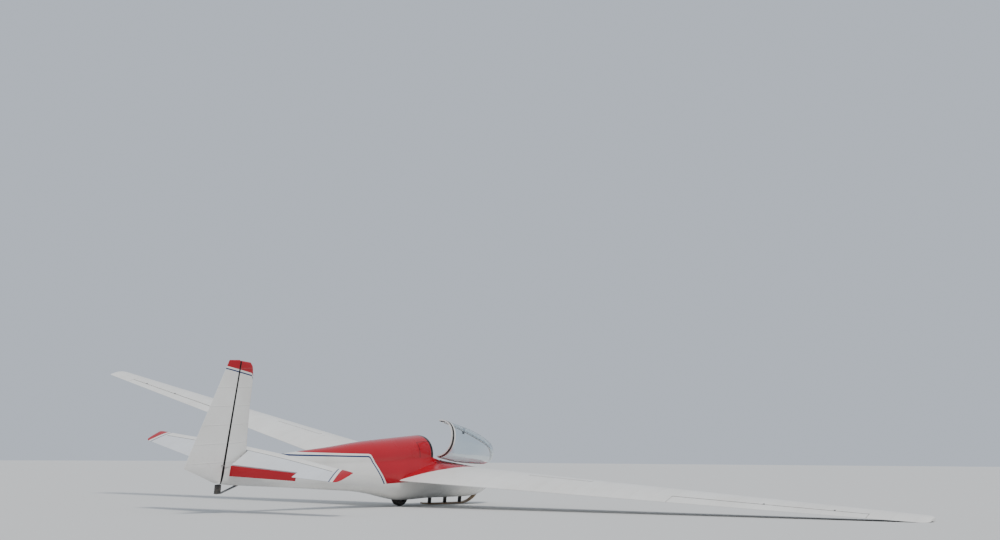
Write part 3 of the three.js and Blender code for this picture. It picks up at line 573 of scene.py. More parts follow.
@dataclass(frozen=True)
class Finish:
    """A named material; each kind of finish feeds what varies over the surface in dress()."""

    name: str
    roughness: float = 0.4
    metallic: float = 0.0
    coat: float = 0.0

    def build(self, groups: dict) -> bpy.types.Material:
        """Makes the material.

        Args:
            groups: the shared node groups, by name.

        Returns:
            The material with its whole node tree.
        """
        material = bpy.data.materials.new(self.name)
        material.use_nodes = True
        shader = material.node_tree.nodes["Principled BSDF"]
        n = NodeTree(material.node_tree)
        even = {"Roughness": self.roughness, "Metallic": self.metallic, "Coat Weight": self.coat}
        n.feed(shader, {**even, "Coat Roughness": 0.08})
        self.dress(n, shader, groups)
        return material

    def dress(self, n: NodeTree, shader: bpy.types.Node, groups: dict) -> None:
        """Feeds the shader what varies."""
        raise NotImplementedError

    def age(self, n: NodeTree, shader: bpy.types.Node, groups: dict, **inputs: Term) -> Signal:
        """Feeds the shader a weathered colour and roughness.

        Args:
            n: the material's tree.
            shader: its shader.
            groups: the shared node groups, by name.
            inputs: the clean Color, the Stain's colour, their Amount and their Scale.

        Returns:
            The height of the weathering.
        """
        aged = n.use(groups["weathering"], {**inputs, "Roughness": self.roughness})
        n.feed(shader, {"Base Color": aged["Color"], "Roughness": aged["Roughness"]})
        return aged["Height"]


@dataclass(frozen=True)
class Paint(Finish):
    """Gloss paint with its age, in one colour unless look() says otherwise."""

    roughness: float = 0.3
    coat: float = 0.12
    colour: tuple = WHITE
    amount: float = 0.16
    tape_half: float = 0.008
    tape_share: float = 0.06

    def look(self, n: NodeTree) -> Look:
        """The colour at each point, and the height of rib tapes where there are any."""
        return self.colour, None

    def taped(self, n: NodeTree, colour: Term, along: Signal, pitch: float) -> tuple:
        """Lays a tape over each rib; the ribs stand twice the pitch apart."""
        tape = n.math("PINGPONG", along, pitch).before(self.tape_half, 0.004)
        return n.mix(tape * self.tape_share, colour, TAPE), tape

    def dress(self, n: NodeTree, shader: bpy.types.Node, groups: dict) -> None:
        """Feeds weathered paint, with a faint height or with raised tapes."""
        colour, ribs = self.look(n)
        shader.inputs["Specular IOR Level"].default_value = 0.3
        stain = n.mix(1.0, colour, STAIN, "MULTIPLY")
        height = self.age(n, shader, groups, Color=colour, Stain=stain, Amount=self.amount, Scale=1.6)
        if ribs is None:
            n.bump(shader, height, 0.25, 0.0004)
        else:
            n.bump(shader, height * 0.05 + ribs, 0.6, 0.003)


def ahead_of_hinge(f: Signal, u: Signal) -> Signal:
    """How far ahead of the rudder's hinge line a point is."""
    return f - (u * 0.1301 - 3.7513)


@dataclass(frozen=True)
class HullPaint(Paint):
    """Red above, white panel and belly below, with a white and a blue line between, and painted shade on the
    boom's end face at the rudder gap.
    """

    flange: float = -0.062
    hatch_rear: float = 0.62
    hatch_foot: float = 0.385
    hatch_top: float = 0.64
    hatch_line: float = 0.0035

    def look(self, n: NodeTree) -> Look:
        """The stripes follow a level line that bends down along a slant behind the wing."""
        f, p, u = n.airframe()
        slant = (f + 0.62) * 0.827 + (u - 0.485) * 0.562
        panel = n.math("SMOOTH_MAX", u - (f * -0.064 + 0.4453), slant, 0.05)
        low = n.math("MAXIMUM", f - 1.45, 0.0) * -0.06
        ahead = f - 0.985
        deck = u.past(0.37)
        hatch = self.hatch(n, f, u, ahead) * (p * -1.0).past(0.0, 0.002)
        seam = abs(f - 2.05).before(0.002, 0.0015)
        colour = n.layers(
            WHITE,
            (panel.past(-0.024, 0.002), BLUE),
            (panel.past(0.0, 0.002), WHITE),
            (panel.past(0.032, 0.002), RED),
            (u.before(low), WHITE),
            (hatch * 0.75, (0.03, 0.004, 0.006, 1)),
            (ahead.past(self.flange) * deck, (0.012, 0.012, 0.014, 1)),
            (ahead.past(-0.009) * deck, (0.45, 0.44, 0.43, 1)),
            # Painted shade: the boom's end face at the rudder gap is darkened.
            (ahead_of_hinge(f, u).before(0.067), GAP_SHADE),
            (seam * 0.6, (0.12, 0.1, 0.09, 1)),
        )
        return colour, None

    def hatch(self, n: NodeTree, f: Signal, u: Signal, ahead: Signal) -> Signal:
        """Two thin lines of a panel on the deck: one upright behind it, one along its top."""
        rear, top = self.hatch_rear, self.hatch_top
        tall = u.past(self.hatch_foot, 0.002) * u.before(top, 0.002)
        long = f.past(rear, 0.002) * ahead.before(self.flange, 0.002)
        upright = abs(f - rear).before(2.5 * self.hatch_line, 0.002) * tall
        return n.math("MAXIMUM", upright, abs(u - top).before(self.hatch_line, 0.002) * long)


@dataclass(frozen=True)
class WingPaint(Paint):
    """White over ribs, with a red corner at the root of the upper surface."""

    def look(self, n: NodeTree) -> Look:
        """The corner lies inside two straight borders, where the surface faces up."""
        f, p, _ = n.airframe()
        out = abs(p)
        border = n.math("MINIMUM", f * 0.72 + 0.34, f * 0.45 + 0.585)
        upper = n.split(n.signal("ShaderNodeNewGeometry", "Normal", {}))[2].past(0.0, 0.02)
        colour = n.mix((border - out).past(0.0) * upper, WHITE, RED)
        return self.taped(n, colour, out, 0.165)


@dataclass(frozen=True)
class TailPaint(Paint):
    """Fin and rudder: white with a red cap, a white and a blue line below it, and painted shade on the fin's
    rear face at the rudder gap.
    """

    def look(self, n: NodeTree) -> Look:
        """The cap's line slopes, and bends down near the leading edge."""
        f, _, u = n.airframe()
        bend = n.math("MAXIMUM", f + 3.215, 0.0) * 1.25
        line = (u - (f * -0.225 + 1.163)) + bend
        gap = u * 0.01167 + ahead_of_hinge(f, u)
        colour = n.layers(
            WHITE,
            (line.past(-0.048), BLUE),
            (line.past(-0.028), WHITE),
            (line.past(0.0), RED),
            # Painted shade: a dark band on the fin's rear face stands in for the shade in the rudder gap.
            (gap.past(0.037) * gap.before(0.0576, 0.002), GAP_SHADE),
        )
        return self.taped(n, colour, u, 0.14)


@dataclass(frozen=True)
class TailplanePaint(Paint):
    """White with a red tip, edged by a white and a blue line, and a darker nose joint."""

    def look(self, n: NodeTree) -> Look:
        """Measured along the drooped chord, ahead of the pivot, and out along the span."""
        f, p, u = n.airframe()
        out = abs(p)
        ahead = (f + 3.3) * 0.9272 + (u - 0.605) * 0.3746
        nose = ahead - (out * out * -0.0148 + 0.163)
        joint = abs(nose).before(0.006) * out.before(1.84, 0.01)
        edge = ahead * 0.336 + out
        colour = n.layers(
            (0.70, 0.72, 0.75, 1),
            (nose.past(0.0, 0.004), WHITE),
            (joint * 0.85, (0.06, 0.06, 0.065, 1)),
            (edge.past(1.933), BLUE),
            (edge.past(1.954), WHITE),
            (edge.past(2.0125), RED),
        )
        return self.taped(n, colour, out, 0.125)


@dataclass(frozen=True)
class Wood(Finish):
    """Wood with its grain along the machine."""

    roughness: float = 0.5
    light: tuple = WHITE
    dark: tuple = WHITE

    def dress(self, n: NodeTree, shader: bpy.types.Node, groups: dict) -> None:
        """Feeds weathered grain."""
        grain = n.use(groups["wood_grain"], {"Light": self.light, "Dark": self.dark, "Scale": 34.0})
        stain = (0.12, 0.08, 0.05, 1)
        self.age(n, shader, groups, Color=grain["Color"], Stain=stain, Amount=0.35, Scale=5.0)
        n.bump(shader, grain["Height"], 0.3, 0.0006)


@dataclass(frozen=True)
class Metal(Finish):
    """Bare or painted metal with rubbed corners."""

    colour: tuple = WHITE
    bare: tuple = WHITE

    def dress(self, n: NodeTree, shader: bpy.types.Node, groups: dict) -> None:
        """Feeds worn and stained metal."""
        worn = n.use(groups["edge_wear"], {"Color": self.colour, "Bare": self.bare, "Amount": 0.8})
        stain = (0.09, 0.06, 0.04, 1)
        height = self.age(n, shader, groups, Color=worn["Color"], Stain=stain, Amount=0.25, Scale=12.0)
        n.bump(shader, height, 0.2, 0.0003)


@dataclass(frozen=True)
class Rubber(Finish):
    """Black rubber, dusty where it is rough."""

    roughness: float = 0.8
    colour: tuple = WHITE
    dust: float = 0.2

    def dress(self, n: NodeTree, shader: bpy.types.Node, groups: dict) -> None:
        """Feeds dusty rubber."""
        stain = (0.22, 0.19, 0.15, 1)
        height = self.age(n, shader, groups, Color=self.colour, Stain=stain, Amount=self.dust, Scale=16.0)
        n.bump(shader, height, 0.5, 0.0006)


@dataclass(frozen=True)
class Cloth(Finish):
    """Woven upholstery with a soft sheen."""

    roughness: float = 0.9
    colour: tuple = WHITE
    thread: tuple = WHITE

    def dress(self, n: NodeTree, shader: bpy.types.Node, groups: dict) -> None:
        """Feeds the weave."""
        woven = n.use(groups["weave"], {"Color": self.colour, "Thread": self.thread, "Scale": 240.0})
        n.feed(shader, {"Base Color": woven["Color"], "Sheen Weight": 0.35})
        n.bump(shader, woven["Height"], 0.6, 0.0008)


@dataclass(frozen=True)
class Acrylic(Finish):
    """A clear moulded canopy with a breath of blue."""

    roughness: float = 0.015

    def dress(self, n: NodeTree, shader: bpy.types.Node, groups: dict) -> None:
        """Feeds a soft tint and a slow ripple."""
        where = n.where()
        haze = n.noise(where, 2.2).past(0.5, 0.5)
        tint = n.mix(haze, (0.80, 0.87, 0.90, 1), (0.72, 0.80, 0.84, 1))
        n.feed(shader, {"Transmission Weight": 1.0, "IOR": 1.49, "Base Color": tint})
        n.bump(shader, n.noise(where, 1.5, 1.0), 0.05, 0.002)


FINISHES = (
    HullPaint("hull_paint", roughness=0.27, coat=0.3, amount=0.2),
    WingPaint("wing_paint", roughness=0.34, amount=0.17, tape_half=0.010, tape_share=0.07),
    TailPaint("tail_paint", roughness=0.34, amount=0.2),
    TailplanePaint("tailplane_paint", roughness=0.34, amount=0.17),
    Paint("tab_paint", colour=RED),
    Paint("frame_paint", roughness=0.25, amount=0.08),
    Paint("cockpit_paint", roughness=0.5, colour=(0.42, 0.42, 0.39, 1), amount=0.3),
    Wood("ply_wood", coat=0.3, light=(0.52, 0.35, 0.18, 1), dark=(0.34, 0.2, 0.09, 1)),
    Wood("skid_wood", coat=0.1, light=(0.42, 0.28, 0.15, 1), dark=(0.2, 0.12, 0.06, 1)),
    Metal("steel", 0.35, 1.0, colour=(0.5, 0.5, 0.51, 1), bare=(0.75, 0.75, 0.76, 1)),
    Metal("dark_steel", 0.45, 0.3, colour=(0.025, 0.026, 0.028, 1), bare=(0.3, 0.3, 0.3, 1)),
    Rubber("tyre", colour=(0.022, 0.022, 0.023, 1), dust=0.5),
    Rubber("rubber", colour=(0.028, 0.028, 0.029, 1), dust=0.35),
    Rubber("seal_rubber", colour=(0.02, 0.02, 0.02, 1), dust=0.15),
    Rubber("black_plastic", colour=(0.03, 0.03, 0.032, 1), dust=0.1),
    Cloth("seat_cloth", colour=(0.05, 0.06, 0.085, 1), thread=(0.12, 0.13, 0.16, 1)),
    Cloth("strap_cloth", colour=(0.06, 0.07, 0.09, 1), thread=(0.16, 0.17, 0.2, 1)),
    Acrylic("canopy_acrylic"),
)


class Workshop:
    """Builds every finish once, and fits the finished pieces."""

    def __init__(self) -> None:
        """Makes the shared node groups and the materials."""
        trees = (weathering_group(), grain_group(), weave_group(), wear_group())
        groups = {tree.name: tree for tree in trees}
        self.made = {finish.name: finish.build(groups) for finish in FINISHES}

    def fit(self, obj: Obj, body: str, slot: str, finish: str, *nodes: str) -> None:
        """Dresses a piece, says where it belongs, and reports it.

        Args:
            obj: the finished piece.
            body: the moving body that it rides on.
            slot: not used.
            finish: the name of its finish.
            nodes: the CAD nodes that it replaces.
        """
        stamp(obj)
        obj.data.materials.clear()
        obj.data.materials.append(self.made[finish])
        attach(obj, body)
        if nodes:
            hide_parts(*nodes)
        LOG.info("%s: %d faces on %s", obj.name, len(obj.data.polygons), body)


# Fuselage


@dataclass
class FuselageLines:
    """The fuselage's lines along its length, in millimetres."""

    belly: Callable = curve(
        [(-3700, 225), (-3450, 185), (-2400, 64), (-1440, -54), (-760, -138), (-350, -219), (260, -369),
         (560, -396), (1120, -410), (1930, -463), (2420, -487), (2690, -462), (2900, -385), (3060, -290),
         (3170, -205), (3220, -135)]
    )
    crown: Callable = curve(
        [(-3700, 518), (-3200, 536), (-2900, 558), (-2310, 602), (-1340, 640), (-620, 683), (150, 701),
         (1110, 717), (1500, 722), (1800, 680), (2100, 588), (2400, 430), (2620, 245), (2740, 95), (2780, 8),
         (2840, -25), (3000, -55), (3150, -90), (3220, -120)]
    )
    beam: Callable = curve(
        [(-3700, 42), (-3200, 82), (-2300, 142), (-1400, 225), (-700, 312), (0, 392), (600, 450),
         (1200, 492), (1800, 500), (2300, 452), (2700, 345), (2980, 225), (3140, 120), (3220, 14)]
    )
    beam_height: Callable = curve(
        [(-3700, 390), (-2300, 310), (-1400, 230), (-700, 150), (0, 60), (1000, 0), (2000, -60),
         (2700, -120), (3220, -128)]
    )
    shoulder: Callable = curve(
        [(-3700, 38), (-3200, 74), (-2300, 126), (-1400, 198), (-700, 262), (0, 310), (985, 335),
         (1610, 320), (1970, 285), (2340, 235), (2560, 200), (2680, 160), (2750, 100), (2780, 30),
         (2900, 60), (3100, 60), (3220, 8)]
    )
    shoulder_height: Callable = curve(
        [(-3700, 450), (-2300, 430), (-1400, 400), (-700, 380), (0, 370), (985, 360), (1376, 250),
         (2087, 130), (2700, 20), (2780, 0), (2900, -35), (3100, -85), (3220, -124)]
    )
    belly_power: float = 2 / 2.4
    crown_power: float = 2 / 2.2
    flank_power: float = 1.6

    def section(self, forward: Points, inset: float, fineness: int) -> Points:
        """Rings round the fuselage.

        Each half is a superellipse from the keel to the widest point, an eased line to the
        shoulder, and a flatter superellipse over the crown; the other half mirrors it.

        Args:
            forward: (n,) stations.
            inset: how far the rings lie inside the skin.
            fineness: steps in the belly's quarter.

        Returns:
            (n, m, 3) airframe points.
        """
        f = np.asarray(forward, float)[:, None]
        bottom, top = self.belly(f) + inset, self.crown(f) - inset
        beam = np.maximum(self.beam(f) - inset, 3.0)
        beam_up = self.beam_height(f)
        shoulder = np.maximum(self.shoulder(f) - inset, 1.5)
        shoulder_up = np.minimum(self.shoulder_height(f), top - 1.5)
        t = np.linspace(0, np.pi / 2, fineness + 1)[None]
        low, high = self.belly_power, self.crown_power
        keel = np.stack([beam * np.sin(t) ** low, beam_up - (beam_up - bottom) * np.cos(t) ** low], -1)
        s = np.linspace(0, 1, max(fineness // 3, 3) + 1)[None, 1:-1]
        flank = np.stack([mix(beam, shoulder, s**self.flank_power), mix(beam_up, shoulder_up, s)], -1)
        over = np.stack([shoulder * np.cos(t) ** high, mix(shoulder_up, top, np.sin(t) ** high)], -1)
        half = np.concatenate([keel, flank, over], axis=1)
        half[:, 0, 0] = 0.0
        half[:, -1, 0] = 0.0
        mirror = half[:, 1:-1][:, ::-1] * np.array([-1.0, 1.0])
        ring = np.concatenate([half, mirror], axis=1)
        along = np.broadcast_to(f[..., None], ring.shape[:2] + (1,))
        return np.concatenate([along, ring], axis=-1)

    def solid(self, name: str, start: float, end: float, inset: float, fineness: int, step: float) -> Obj:
        """A closed solid of the fuselage between two stations, closer-set towards the nose.

        Args:
            name: the solid's name.
            start: its rear station.
            end: its front station.
            inset: how far it lies inside the skin.
            fineness: steps in the belly's quarter.
            step: how far apart the stations are.

        Returns:
            The new object.
        """
        stations = np.arange(start, end, step)
        if end > 2500:
            near = np.linspace(2480, end, 64)
            stations = np.concatenate([stations[stations < 2460], near])
        else:
            stations = np.append(stations, end)
        return loft(name, self.section(stations, inset, fineness))


LINES = FuselageLines()


@dataclass
class CockpitOpening:
    """The cut that parts the canopy from the fuselage: a sill in side view and an upright rear edge."""

    sill: tuple = (
        (925, 376), (985, 360), (1160, 304), (1376, 250), (1720, 190), (2087, 130), (2400, 76), (2700, 20),
        (2792, 0),
    )
    high: float = 1400.0
    wide: float = 900.0

    def solid(self, name: str, inset: float, rear: Optional[float] = None) -> Obj:
        """The opening's solid, made smaller by an inset, and by its own amount at the rear."""
        behind = BULKHEAD + (inset if rear is None else rear)
        last = self.sill[-1][0] - inset
        f = np.linspace(behind, last, 60)
        up = curve(self.sill)(f) + inset
        side = np.concatenate([np.stack([f, up], -1), [[last, self.high], [behind, self.high]]])
        return prism(name, side, -self.wide, self.wide, across=True)


OPENING = CockpitOpening()


def slab(name: str, f0: float, f1: float, p0: float, p1: float, u0: float, u1: float) -> Obj:
    """A box between two corners, used to cut."""
    return prism(name, np.array([[f0, u0], [f1, u0], [f1, u1], [f0, u1]]), p0, p1, across=True)


@dataclass
class Fuselage:
    """The plywood fuselage: one painted skin, the cockpit's lining and the seals on its sill.

    Its fields are two points of the rudder's hinge line, the rudder gap, and the half length
    and half width of the wheel's slot.
    """

    shop: Workshop
    hinge_low: tuple = (-3722.0, 225.0)
    hinge_high: tuple = (-3480.0, 2085.0)
    end_gap: float = 62.0
    wheel_slot: tuple = (235.0, 100.0)
    seal_radius: float = 5.0

    def hinge(self, up: float, ahead: float = 0.0) -> float:
        """How far forward the rudder's hinge line is at a height."""
        (f0, u0), (f1, u1) = self.hinge_low, self.hinge_high
        return f0 + (up - u0) * (f1 - f0) / (u1 - u0) + ahead

    def behind_hinge(self, extra: float = 0.0) -> Obj:
        """A cutter for everything behind the rudder gap, widened forward by an extra distance."""
        ahead = self.end_gap + extra
        low, high, rear = -200.0, 2300.0, -5000.0
        outline = [(self.hinge(low, ahead), low), (self.hinge(high, ahead), high), (rear, high), (rear, low)]
        return prism("behind", np.array(outline), -300, 300, across=True)

    def build(self) -> None:
        """Makes the skin and everything fixed to it."""
        self.skin()
        self.lining()
        self.coaming()

    def skin(self) -> None:
        """The outer solid less its hollow, the cockpit opening, the wheel slot and the rudder gap."""
        skin = LINES.solid("fuselage_skin", TAIL_END, NOSE_TIP, 0.0, 30, 32.0)
        hollow = LINES.solid("hollow", -3560, NOSE_TIP - 62, WALL, 18, 60.0)
        carve(skin, hollow)
        carve(skin, OPENING.solid("opening", 0.0))
        length, width = self.wheel_slot
        carve(skin, slab("slot", WHEEL_FORWARD - length, WHEEL_FORWARD + length, -width, width, -700, -300))
        carve(skin, self.behind_hinge())
        nodes = ("nose_shell", "cockpit_shell", "centre_fuselage", "tail_boom")
        self.shop.fit(skin, "airframe", "red_wood", "hull_paint", *nodes)

    def lining(self) -> None:
        """A thin painted lining inside the cockpit walls."""
        lining = LINES.solid("cockpit_lining", 1008, 3080, WALL + 0.6, 20, 50.0)
        carve(lining, LINES.solid("inner", 1000, 3100, WALL + 3.2, 20, 50.0))
        carve(lining, OPENING.solid("opening", -2.0))
        self.shop.fit(lining, "airframe", "bare_wood", "cockpit_paint")

    def coaming(self) -> None:
        """A dark rubber seal along the cockpit's edge."""
        f = np.linspace(1010, 2735, 80)
        up = curve(OPENING.sill)(f) - self.seal_radius / 2
        for side in Side:
            ring = LINES.section(f, 14.0, 40)
            half = ring[:, : ring.shape[1] // 2 + 1]
            pick = np.abs(half[..., 2] - up[:, None]).argmin(axis=1)
            edge = half[np.arange(len(f)), pick]
            edge[:, 1] *= side.value
            edge[:, 2] = up
            seal = tube(f"{side.label}_sill_seal", edge, self.seal_radius, 10)
            self.shop.fit(seal, "airframe", "rubber", "seal_rubber")


@dataclass
class Canopy:
    """A clear one-piece bubble in a white frame, swung open on the starboard sill.

    Everything is built shut and is then turned about the line through the two hinges. The
    frame is a band along the sill and a wider bow at the rear.
    """

    shop: Workshop
    hinge_rear: tuple = (1150.0, -368.0, 314.0)
    hinge_front: tuple = (1950.0, -322.0, 160.0)
    open_angle: float = math.radians(78)
    band: float = 42.0
    bow: float = 90.0
    rear_gap: float = 22.0

    def swing(self, obj: Obj) -> Obj:
        """Turns a piece built shut about the hinge to its open place."""
        rear = place(np.array(self.hinge_rear))
        axis = place(np.array(self.hinge_front)) - rear
        turn = Matrix.Rotation(self.open_angle, 4, Vector(axis).normalized())
        to, back = Matrix.Translation(Vector(rear)), Matrix.Translation(-Vector(rear))
        obj.data.transform(to @ turn @ back)
        return obj

    def build(self) -> None:
        """Makes the frame, the bubble, the bow's dark band, the catch and the pull."""
        outer = LINES.solid("canopy_outer", 900, NOSE_TIP, 0.0, 44, 14.0)
        frame_piece = copy_of(outer, "canopy_rim")
        carve(frame_piece, OPENING.solid("band", MOVING_GAP, self.rear_gap), Cut.KEEP)
        carve(frame_piece, OPENING.solid("window", MOVING_GAP + self.band, self.rear_gap + self.bow))
        carve(frame_piece, LINES.solid("frame_hollow", 890, NOSE_TIP - 45, 20.0, 30, 30.0))
        self.swing(frame_piece)
        self.shop.fit(frame_piece, "canopy", "white_paint", "frame_paint", "canopy_frame")
        bubble = outer
        bubble.name = "canopy_bubble"
        sides, rear = MOVING_GAP + self.band, self.rear_gap + self.bow
        carve(bubble, OPENING.solid("pane", sides + SKIN_GAP, rear + SKIN_GAP), Cut.KEEP)
        carve(bubble, LINES.solid("glass_hollow", 890, NOSE_TIP - 45, 6.0, 44, 14.0))
        self.swing(bubble)
        self.shop.fit(bubble, "canopy", "clear_plastic", "canopy_acrylic", "canopy_glass")
        self.bow_bands()
        self.handles()

    def bow_bands(self) -> None:
        """A dark lining under the bow, and a dark band round its outside between two white edges."""
        start = BULKHEAD + self.rear_gap
        rows = (
            ("bow_lining", NOSE_TIP, 20.3, 3.0, 5.0, self.bow - 6.0, NOSE_TIP - 45, 22.6, 30, 30.0),
            ("bow_band", 1400, -0.7, 0.0, 12.0, 62.0, 1500, 0.4, 44, 14.0),
        )
        for name, end, outside, above, behind, front, hollow_end, inside, fineness, step in rows:
            band = LINES.solid(name, 900, end, outside, 44, 14.0)
            carve(band, OPENING.solid("strip", MOVING_GAP + above, self.rear_gap + behind), Cut.KEEP)
            carve(band, slab("ahead", start + front, 4000, -900, 900, -900, 1500))
            carve(band, LINES.solid("band_hollow", 890, hollow_end, inside, fineness, step))
            self.shop.fit(self.swing(band), "canopy", "rubber", "seal_rubber")

    def handles(self) -> None:
        """A catch under the bow's crown, and a pull handle on the port side of the frame."""
        for name, node, box in (
            ("bow_catch", "canopy_latch", (1040, 1072, -24, 24, 672, 760)),
            ("port_pull", "canopy_handle", (1795, 1845, 235, 320, 190, 212)),
        ):
            piece = slab(name, *box)
            carve(piece, LINES.solid("inside", 890, NOSE_TIP - 45, 20.3, 20, 40.0), Cut.KEEP)
            self.swing(piece)
            rounded(piece, 4.0, 3)
            self.shop.fit(piece, "canopy", "dark_steel", "dark_steel", node)


# Wing


@dataclass
class WingShape:
    """The wing's planform, twist and section."""

    thickness: float = 0.18
    camber: float = 0.035
    camber_peak: float = 0.45
    scallop: float = 1.6
    rib_pitch: float = 330.0

    def share(self, port: Points) -> Points:
        """How far out along the half span a place is."""
        return np.abs(port) / HALF_SPAN

    def chord(self, port: Points) -> Points:
        """The chord at a place along the span."""
        return mix(ROOT_CHORD, TIP_CHORD, self.share(port))

    def on_chord(self, port: Points, chord_share: Points, above: Points = 0.0) -> Points:
        """A place a share of the chord ahead of the trailing edge and so far above the chord line."""
        port, chord_share, above = np.broadcast_arrays(port, chord_share, above)
        t = self.share(port)
        tilt = mix(ROOT_INCIDENCE, TIP_INCIDENCE, t)
        c = self.chord(port) * chord_share
        f = TIP_TRAILING_EDGE * t + c * np.cos(tilt) - above * np.sin(tilt)
        u = DIHEDRAL * np.abs(port) + c * np.sin(tilt) + above * np.cos(tilt)
        return np.stack([f, port.astype(float), u], axis=-1)

    def half(self, x: Points) -> Points:
        """Half thickness as a share of the chord: the usual five-term polynomial."""
        poly = -0.126 * x - 0.3516 * x**2 + 0.2843 * x**3 - 0.1015 * x**4
        return 5 * self.thickness * (0.2969 * np.sqrt(x) + poly) + 0.0012

    def mean(self, x: Points) -> Points:
        """Camber line: two parabolas that meet at its peak."""
        m, p = self.camber, self.camber_peak
        ahead = m / p**2 * (2 * p * x - x * x)
        behind = m / (1 - p) ** 2 * (1 - 2 * p + 2 * p * x - x * x)
        return np.where(x < p, ahead, behind)

    def sag(self, port: Points, x: Points) -> Points:
        """Fabric sinks a little between ribs behind the spar: a raised cosine between ribs."""
        between = 0.5 - 0.5 * np.cos(2 * np.pi * np.abs(port) / self.rib_pitch)
        behind = np.clip((x - 0.36) / 0.1, 0, 1) * np.clip((0.97 - x) / 0.1, 0, 1)
        return self.scallop * between * behind

    def rings(self, ports: Points, steps: int = 44, scale: Points = 1.0) -> Points:
        """Closed section rings, nose to tail over the top and back underneath."""
        x = (1 - np.cos(np.linspace(0, np.pi, steps + 1))) / 2
        port = np.asarray(ports, float)[:, None]
        s = np.broadcast_to(np.asarray(scale, float), (len(ports),))[:, None]
        c = self.chord(port)
        spread = 0.5 + (0.5 - x[None]) * s
        mean, half, sag = self.mean(x)[None], self.half(x)[None] * s, self.sag(port, x[None])
        upper = self.on_chord(port, spread, (mean + half) * c - sag)
        lower = self.on_chord(port, spread, (mean - half) * c + sag)
        return np.concatenate([upper, lower[:, ::-1]], axis=1)


WING = WingShape()


